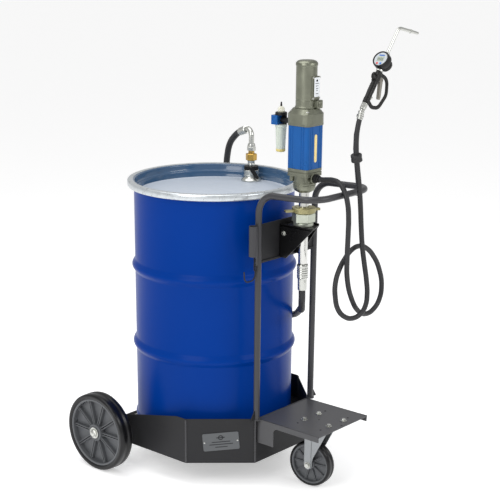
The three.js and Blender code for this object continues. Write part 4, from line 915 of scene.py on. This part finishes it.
def lobed(side, corner, groove, depth):
    # A rounded square casting with a hollow in the middle of each side and at each corner.
    edge = []
    for k in range(160):
        a = 2 * math.pi * k / 160
        n = 6.0
        reach = (side / 2) / (abs(math.cos(a)) ** n + abs(math.sin(a)) ** n) ** (1 / n)
        at_corner = abs(math.sin(2 * a))
        reach -= depth * math.exp(-((at_corner - 1) * groove) ** 2)
        edge.append((reach * math.cos(a), reach * math.sin(a) + pump_y))
    return edge


head = [plate(oblong(92, 92, 14, 0, pump_y), 1270.3, 1279), plate(lobed(100, 14, 9, 4), 1278, 1310)]
low_edge = lobed(100, 14, 9, 4)
high_edge = circle(43, 160, 0, pump_y)
bevel_points = [(x, y, 1309.5) for x, y in low_edge] + [(x, y, 1326.3) for x, y in high_edge]
bevel_faces = [[i, (i + 1) % 160, (i + 1) % 160 + 160, i + 160] for i in range(160)]
head.append((bevel_points, bevel_faces + [list(range(160)), list(range(160, 320))]))
piece("head_casting", head, cast_metal, "trolley", "cast_grey", ["motor_head"], bevel=1.0, angle=30)
tie_bolts = []
tie_bolt = [(0, 1311), (6.4, 1311), (6.8, 1312), (6.8, 1318), (5.8, 1319.4), (3.6, 1319.4), (3.4, 1316),
            (0, 1316)]
for y in (-35, 35):
    for x in (-35, 35):
        tie_bolts.append(spun(tie_bolt, 24, centre=(x * 0.93, pump_y + y * 0.93, 0)))
piece("tie_bolts", tie_bolts, bright_zinc, "trolley", "zinc")
valve = [(0, 1326.6), (37, 1326.6), (37, 1331), (35, 1333), (35, 1352), (34.2, 1353), (34.2, 1355),
         (35, 1356),
         (35, 1462), (36.5, 1464), (36.5, 1471), (35, 1473.5), (31, 1478), (24, 1480.4), (0, 1480.6)]
shells = [spun(valve, 80, centre=pump), plate(oblong(36, 78, 5, 3, 1392), -445, -417, "y"),
          plate(oblong(31, 70, 4, 3.5, 1393), -447, -444, "y"),
          plate(oblong(28, 27, 3, 12, 1340.4), -456, -417, "y")]
piece("valve_casting", shells, cast_metal, "trolley", "cast_grey", ["valve_cylinder"], bevel=1.0)
cover_screws = []
for x in (-11.8, 18.6):
    for z in (1360.4, 1427.4):
        cover_screws.append(moved(spun([(0, 0), (3.6, 0), (3.6, 2.2), (2.6, 3.2), (1.8, 3.2), (1.6, 1.6),
                                        (0, 1.6)], 20),
                                  facing((x, -444.8, z), (0, -1, 0))))
piece("cover_screws", cover_screws, bright_zinc, "trolley", "zinc")
badge = moved(spun([(0, 0), (8.6, 0), (9.4, 0.6), (9.4, 1.4), (8.2, 2), (7, 1.2), (0, 1.2)], 40),
              facing((12, -455.8, 1340.4), (0, -1, 0)))
piece("boss_badge", [badge, plate(oblong(9, 3, 1.2, 12, 1340.4), -457.8, -456.6, "y")], cast_metal,
      "trolley", "cast_grey", bevel=0.3)
piece("cover_label", [plate(oblong(27, 62, 2.5, 4, 1396), -447.7, -446.9, "y")], label_white, "trolley",
      "lid_paint", bevel=0.2)
label_rows = ((18, 1408), (14, 1400), (12, 1392), (8, 1386), (14, 1375))
label_marks = [plate(oblong(9, 7, 3, 4, 1417), -448, -447.6, "y")]
label_marks += [plate(oblong(width, 1.8, 0.6, 4, z), -448, -447.6, "y") for width, z in label_rows]
piece("cover_label_lines", label_marks, plate_ink, "trolley", "tray_paint")

# ------------------------------------------------------------------ air lubricator
# A small unit behind the motor head: blue port block, black body, clear dome with its needle, and a ribbed
# clear bowl with a yellowish foot.
unit_y = -302
unit = (0, unit_y, 0)
clear_bowl = finish("clear_bowl", tone(222, 230, 218), 0.12, cloud=(20, 0.1), grain=(300, 0.05), spread=0.06)
dome_plastic = finish("dome_plastic", tone(232, 230, 206), 0.08, cloud=(20, 0.12), grain=(300, 0.05),
                      spread=0.06)
foot_plastic = finish("foot_plastic", tone(214, 196, 120), 0.4, cloud=(20, 0.15), grain=(300, 0.1))
for clear, alpha in ((clear_bowl, 0.72), (dome_plastic, 0.5)):
    clear.node_tree.nodes["Principled BSDF"].inputs["Alpha"].default_value = alpha
piece("port_block", [plate(oblong(27.5, 27.5, 2, -10, -291), 1262, 1293),
                     moved(spun([(8, 0), (10, 0), (10.4, 0.7), (9.6, 1.2), (8, 0.5), (8, 0)], 32),
                           facing((-23.75, -291, 1277.5), (-1, 0, 0)))],
      pump_blue, "trolley", "pump_blue", ["lubricator_block"], bevel=0.8)
beside_block = [(4.1, unit_y + 19.4)]
beside_block += [(20 * math.sin(a), unit_y + 20 * math.cos(a))
                 for a in [0.3 + (math.pi - 0.6) * k / 20 for k in range(21)]]
beside_block += [(4.1, unit_y - 19.4)]
piece("unit_body", [plate(beside_block, 1261.9, 1294), spun([(0, 1293.2), (20, 1293.2), (20.3, 1294),
                                                             (20.3, 1300),
                                                            (19.4, 1302.4), (18, 1303), (0, 1303)], 64,
                                                            centre=unit),
                    rod(9, -356.7, unit_y, "y", (0, 0, 1277.5)),
                    collar(8, 11, -352, -344, "y", (0, 0, 1277.5))],
      black_plastic, "trolley", "gun_plastic", ["lubricator_head"], bevel=0.5)
piece("clear_dome", [spun([(0, 1303.3), (12, 1303.3), (12.6, 1305), (12.5, 1311), (10.5, 1317), (7.4, 1320),
                           (4, 1321.6), (3.2, 1324), (0, 1324)], 48, centre=unit)],
      dome_plastic, "needle", "clear_plastic", ["feed_needle"])
piece("needle_screw", [spun([(0, 1322), (3.4, 1322), (3.6, 1324), (2.8, 1331), (2.2, 1336), (0, 1337)], 24,
                            centre=unit)],
      black_plastic, "needle", "gun_plastic")
bowl = [(0, 1170), (13.6, 1170), (15, 1171.6), (15.6, 1178), (19, 1253), (20.3, 1254), (20.3, 1261.7),
        (16, 1261.7), (16, 1253), (12.5, 1182), (0, 1175)]


def bowl_ribs(angle, height):
    return -0.55 * (0.5 + 0.5 * math.cos(16 * angle)) if 1176 < height < 1254 else 0


piece("ribbed_bowl", [spun(bowl, 96, centre=unit, wave=bowl_ribs)], clear_bowl, "bowl", "clear_plastic",
      ["lubricator_bowl"], angle=50)
piece("bowl_foot", [spun([(0, 1169.7), (12.6, 1169.7), (15.6, 1172), (16, 1179), (15.4, 1180), (0, 1180)],
                         64, centre=unit)],
      foot_plastic, "bowl", "clear_plastic")

# ------------------------------------------------------------------ gun, meter and spout
# A black grained grip with a silver-grey trigger inside its guard, a round digital meter on its head, and a
# bent bright spout. Drawn upright with the trigger towards x, then leaned as it hangs in its rest.
gun_joint = next(joint for joint in frame["joints"] if joint["name"] == "gun_swivel")
lean = math.atan2(gun_joint["axis"][0], gun_joint["axis"][2])
gun_frame = Matrix.Translation(Vector(gun_joint["pos_m"])) @ Matrix.Rotation(lean, 4, "Y")
gun_plastic = finish("gun_plastic", tone(17, 16, 15), 0.42, cloud=(30, 0.3), grain=(1400, 0.35),
                     bump=0.00012, spread=0.2, specular=0.3)
trigger_plastic = finish("trigger_plastic", tone(138, 134, 126), 0.36, metallic=0.5, cloud=(40, 0.2),
                         grain=(900, 0.15), bump=0.00006)
dial_plastic = finish("dial_plastic", tone(176, 182, 186), 0.35, cloud=(40, 0.08), grain=(500, 0.06))
lcd_glass = finish("lcd_glass", tone(140, 152, 134), 0.12, cloud=(60, 0.15), grain=(700, 0.1), coat=0.5)
red_plastic = finish("red_plastic", tone(206, 44, 36), 0.3, cloud=(80, 0.12), grain=(900, 0.1), coat=0.2)
blue_plastic = finish("blue_plastic", tone(30, 108, 190), 0.3, cloud=(80, 0.12), grain=(900, 0.1), coat=0.2)


def gun_piece(name, shells, material, body, slot_name, nodes=(), bevel=0.0, angle=35):
    return piece(name, shells, material, body, slot_name, nodes, bevel, angle, place=gun_frame)


def oval(width, depth, count=32):
    return [(width * math.cos(2 * math.pi * k / count), depth * math.sin(2 * math.pi * k / count))
            for k in range(count)]


gun_piece("swivel_hex", [spun([(0, -21), (9, -21), (10.4, -19.6), (10.4, -1.4), (9, 0), (0, 0)], 6),
                         collar(5, 9.4, -23.4, -20.8, chamfer=0.5)], bright_zinc, "gun", "zinc", ["gun_nut"],
          bevel=0.4)
grip_route, grip_swell = [], []
for z, grow in ((0.3, 0.86), (2, 0.96), (6, 1.0), (16, 0.98), (26, 0.95), (36, 0.98), (48, 1.02), (60, 1.0),
                (72, 0.96), (80, 1.0), (86, 1.04)):
    grip_route.append((0, 0, z))
    grip_swell.append(grow)
body_shells = [swept(grip_route, oval(11, 11), grip_swell)]
for z in (10, 16, 44, 52, 60, 68):
    body_shells.append(collar(9, 11.6, z, z + 2.4, sides=40, chamfer=0.9))
block_edge = oblong(22, 22, 6)
body_shells += [plate(block_edge, 81, 108), spun([(0, 106), (11.4, 106), (11.8, 108), (10.4, 116),
                                                  (9.5, 118), (0, 118)], 48)]
body_shells += [plate([(8, 88), (31, 92), (32.5, 100), (31, 108), (8, 113)], 6.5, 9.3, "y")]
ring_route = [(-16 + 9.5 * math.cos(a), 0, 92 + 9.5 * math.sin(a))
              for a in [2 * math.pi * k / 36 for k in range(36)]]
body_shells.append(swept(ring_route, circle(3.4, 14), closed=True))
gun_piece("grip_and_head", body_shells, gun_plastic, "gun", "gun_plastic", ["gun_body"], bevel=0.8)
gun_piece("head_union", [collar(6, 12, 117.6, 123.6, sides=48, chamfer=1.2)], bright_zinc, "gun", "zinc")
guard_route = bent([(11, 0, 114.7), (54, 0, 123), (83, 0, 82), (71, 0, 26), (39, 0, 8), (10.5, 0, 13.6)], 30,
                   12)
guard_section = softened([(-3.3, -6), (3.3, -6), (3.3, 6), (-3.3, 6)], 1.8, 3)
gun_piece("guard_loop", [swept(guard_route, [(b, a) for a, b in guard_section])], gun_plastic, "gun",
          "gun_plastic", ["trigger_guard"])
trigger_pivot = (23, 0, 100)
blade = softened([(20, 92), (34, 70), (46, 50), (50, 45), (56, 47), (55, 56), (44, 76), (33, 99), (24, 103)],
                 2.5, 3)
gun_piece("trigger_blade", [plate(blade, -5, 5, "y"), rod(9, -6, 6, "y", trigger_pivot, 36, 1.0),
                            collar(2.6, 5.2, -7.2, -5.6, "y", trigger_pivot, 24, 0.4)],
          trigger_plastic, "trigger", "trigger_plastic", ["trigger"], bevel=0.8)
gun_piece("latch_pin", [rod(6, 11.3, 18, "x", (0, 0, 29), 28, 1.2)], bright_zinc, "latch", "zinc",
          ["latch_button"])
meter_z = 153.0


def at_meter(profile, sides=72, wave=None):
    return spun(profile, sides, "x", (0, 0, meter_z), wave)


gun_piece("meter_case", [at_meter([(24.3, -19.6), (24.8, -22.2), (26, -23), (27.4, -22.6), (28.4, -20),
                                   (28.4, -16),
                                   (29, -14.5), (29, -0.5), (27.6, 1.6), (24, 2), (0, 2), (0, -13.2),
                                   (24.3, -13.2), (24.3, -19.6)], 96,
                                  lambda a, h: -0.5 * max(0, math.cos(24 * a)) if -15 < h < 0 else 0)],
          gun_plastic, "gun", "gun_plastic", ["meter_bezel"], angle=40)
gun_piece("dial", [at_meter([(0, -21), (22.6, -21), (24, -20), (24, -13.6), (0, -13.6)], 72)], dial_plastic,
          "gun", "face_plastic", ["meter_face"])
gun_piece("lcd", [plate([(y, z + meter_z) for y, z in oblong(25, 16, 1.5, 0, 0)], -21.5, -20.9, "x")],
          lcd_glass, "gun", "face_plastic", bevel=0.2)
digit_bars = []
for k in range(4):
    middle = -8.4 + 5.6 * k
    for y, z, wide, tall in ((0, 3.4, 2.4, 0.7), (0, -1, 2.4, 0.7), (0, -5.4, 2.4, 0.7),
                             (-1.6, 1.2, 0.7, 3.4),
                             (1.6, 1.2, 0.7, 3.4), (1.6, -3.2, 0.7, 3.4), (-1.6, -3.2, 0.7, 3.4)):
        digit_bars.append(plate(oblong(wide, tall, 0.2, middle + y, meter_z + z, 1), -21.7, -21.45, "x"))
gun_piece("lcd_digits", digit_bars, plate_ink, "gun", "face_plastic")
gun_piece("dial_mark", [plate([(y, z + meter_z) for y, z in oblong(22, 4.6, 1.6, 0, 13)], -21.4, -20.9,
                              "x")], plate_blue,
          "gun", "blue_plastic", bevel=0.2)
for name, y, material, body, slot_name in (("total_key_cap", 6.5, red_plastic, "total_key", "red_plastic"),
                                           ("reset_key_cap", -6.5, blue_plastic, "reset_key",
                                            "blue_plastic")):
    cap = spun([(0, -22.6), (2.6, -22.5), (3.5, -21.9), (3.7, -21.2), (3.7, -19.2), (0, -19.2)], 32, "x",
               (0, y, meter_z - 16.5))
    gun_piece(name, [cap], material, body, slot_name, [name.replace("_key_cap", "_button")])
gun_piece("chamber", [at_meter([(0, 2.3), (19.6, 2.3), (21, 3.6), (21, 9), (20, 10), (20, 12), (21, 13),
                                (21, 23), (19, 25.6), (14, 26.3), (0, 26.3)], 72,
                               lambda a, h: -0.8 * max(0, math.cos(12 * a)) if 12.5 < h < 24 else 0)],
          gun_plastic, "gun", "gun_plastic", ["meter_chamber"], angle=40)
spout_base = 182.3
spout_route = bent([(0, 0, spout_base), (0, 0, spout_base + 101), (60, 0, spout_base + 129)], 20, 14)
gun_piece("spout", [swept(spout_route, circle(5.5, 24)),
                    spun([(0, spout_base - 3), (8.2, spout_base - 3), (8.8, spout_base - 2),
                          (8.8, spout_base + 5), (7.4, spout_base + 6.4), (0, spout_base + 6.4)], 6)],
          bright_zinc, "gun", "zinc", ["spout_tube"], bevel=0.4)
spout_away = Vector((60, 0, 28)).normalized()
tip_frame = facing(Vector((60, 0, spout_base + 129)) + spout_away * 0.3, spout_away)
tip = [(0, 0), (6, 0), (6.7, 0.8), (6.7, 5), (5.5, 6), (5.4, 14), (4.7, 40), (4.2, 47.6), (3.2, 47.7),
       (3.2, 40), (0, 40)]
gun_piece("spout_nozzle", [moved(spun(tip, 40), tip_frame)], bright_zinc, "nozzle", "zinc", ["spout_tip"],
          angle=40)

# ------------------------------------------------------------------ gun rest and the hose's upper end
# A thin steel rod from the handle's front bar up behind the hose, with a half saddle that holds the plated
# ferrule under the gun's swivel.
ferrule_low, ferrule_high = gun_hose_end, Vector((32.5, -608, 1332))
ferrule_frame = facing(ferrule_low, ferrule_high - ferrule_low)
piece("gun_hose_sleeve", [moved(spun(crimped(28, 10.5, 3), 48, wave=crimp_wave(0.5, 8)), ferrule_frame),
                          moved(spun([(0, 28), (6, 28), (6, 33), (0, 33)], 24), ferrule_frame)], bright_zinc,
      "trolley", "zinc", ["hose_ferrule"], angle=40)
clip = ferrule_low.lerp(ferrule_high, 0.42)
rest_route = bent([(69, -575, 1073), (52, -575, 1163), (45, -575, 1205), (46, -575, 1250),
                   (clip.x + 30, -575, clip.z - 28), (clip.x + 10.5, -599.5, clip.z)], 20, 10)
arc = [math.radians(-18 + 12 * k) for k in range(11)]
saddle = [(13.5 * math.cos(a), 13.5 * math.sin(a)) for a in arc]
saddle += [(10.8 * math.cos(a), 10.8 * math.sin(a)) for a in arc[::-1]]
tilt = Matrix.Translation(clip) @ Matrix.Rotation(math.atan2(10, 27), 4, "Y")
piece("gun_rest_rod", [swept(rest_route, circle(4, 16)), moved(plate(saddle, -4, 4), tilt)], tube_paint,
      "trolley", "tube_paint", ["gun_rest"], bevel=0.4)
hose_stop = facing((16.5, -608, 1171), (-6, 0, 24))
piece("hose_stop_ring", [moved(spun([(0, 0), (17, 0), (18.4, 1.4), (18.4, 8), (17.6, 9), (17.6, 15),
                                     (18.4, 16), (18.4, 22.6),
                                      (17, 24), (0, 24)], 48), hose_stop)], hose_rubber, "trolley",
      "hose_rubber")
foot_clamp = moved(collar(11.2, 13.2, -7, 7, sides=40, chamfer=0.4), facing((69, -578, 1060), (1, 0, 0)))
piece("rest_clamp", [foot_clamp, plate(oblong(10, 10, 2, 69, -575.5), 1071, 1075)], tube_paint, "trolley",
      "tube_paint", bevel=0.3)
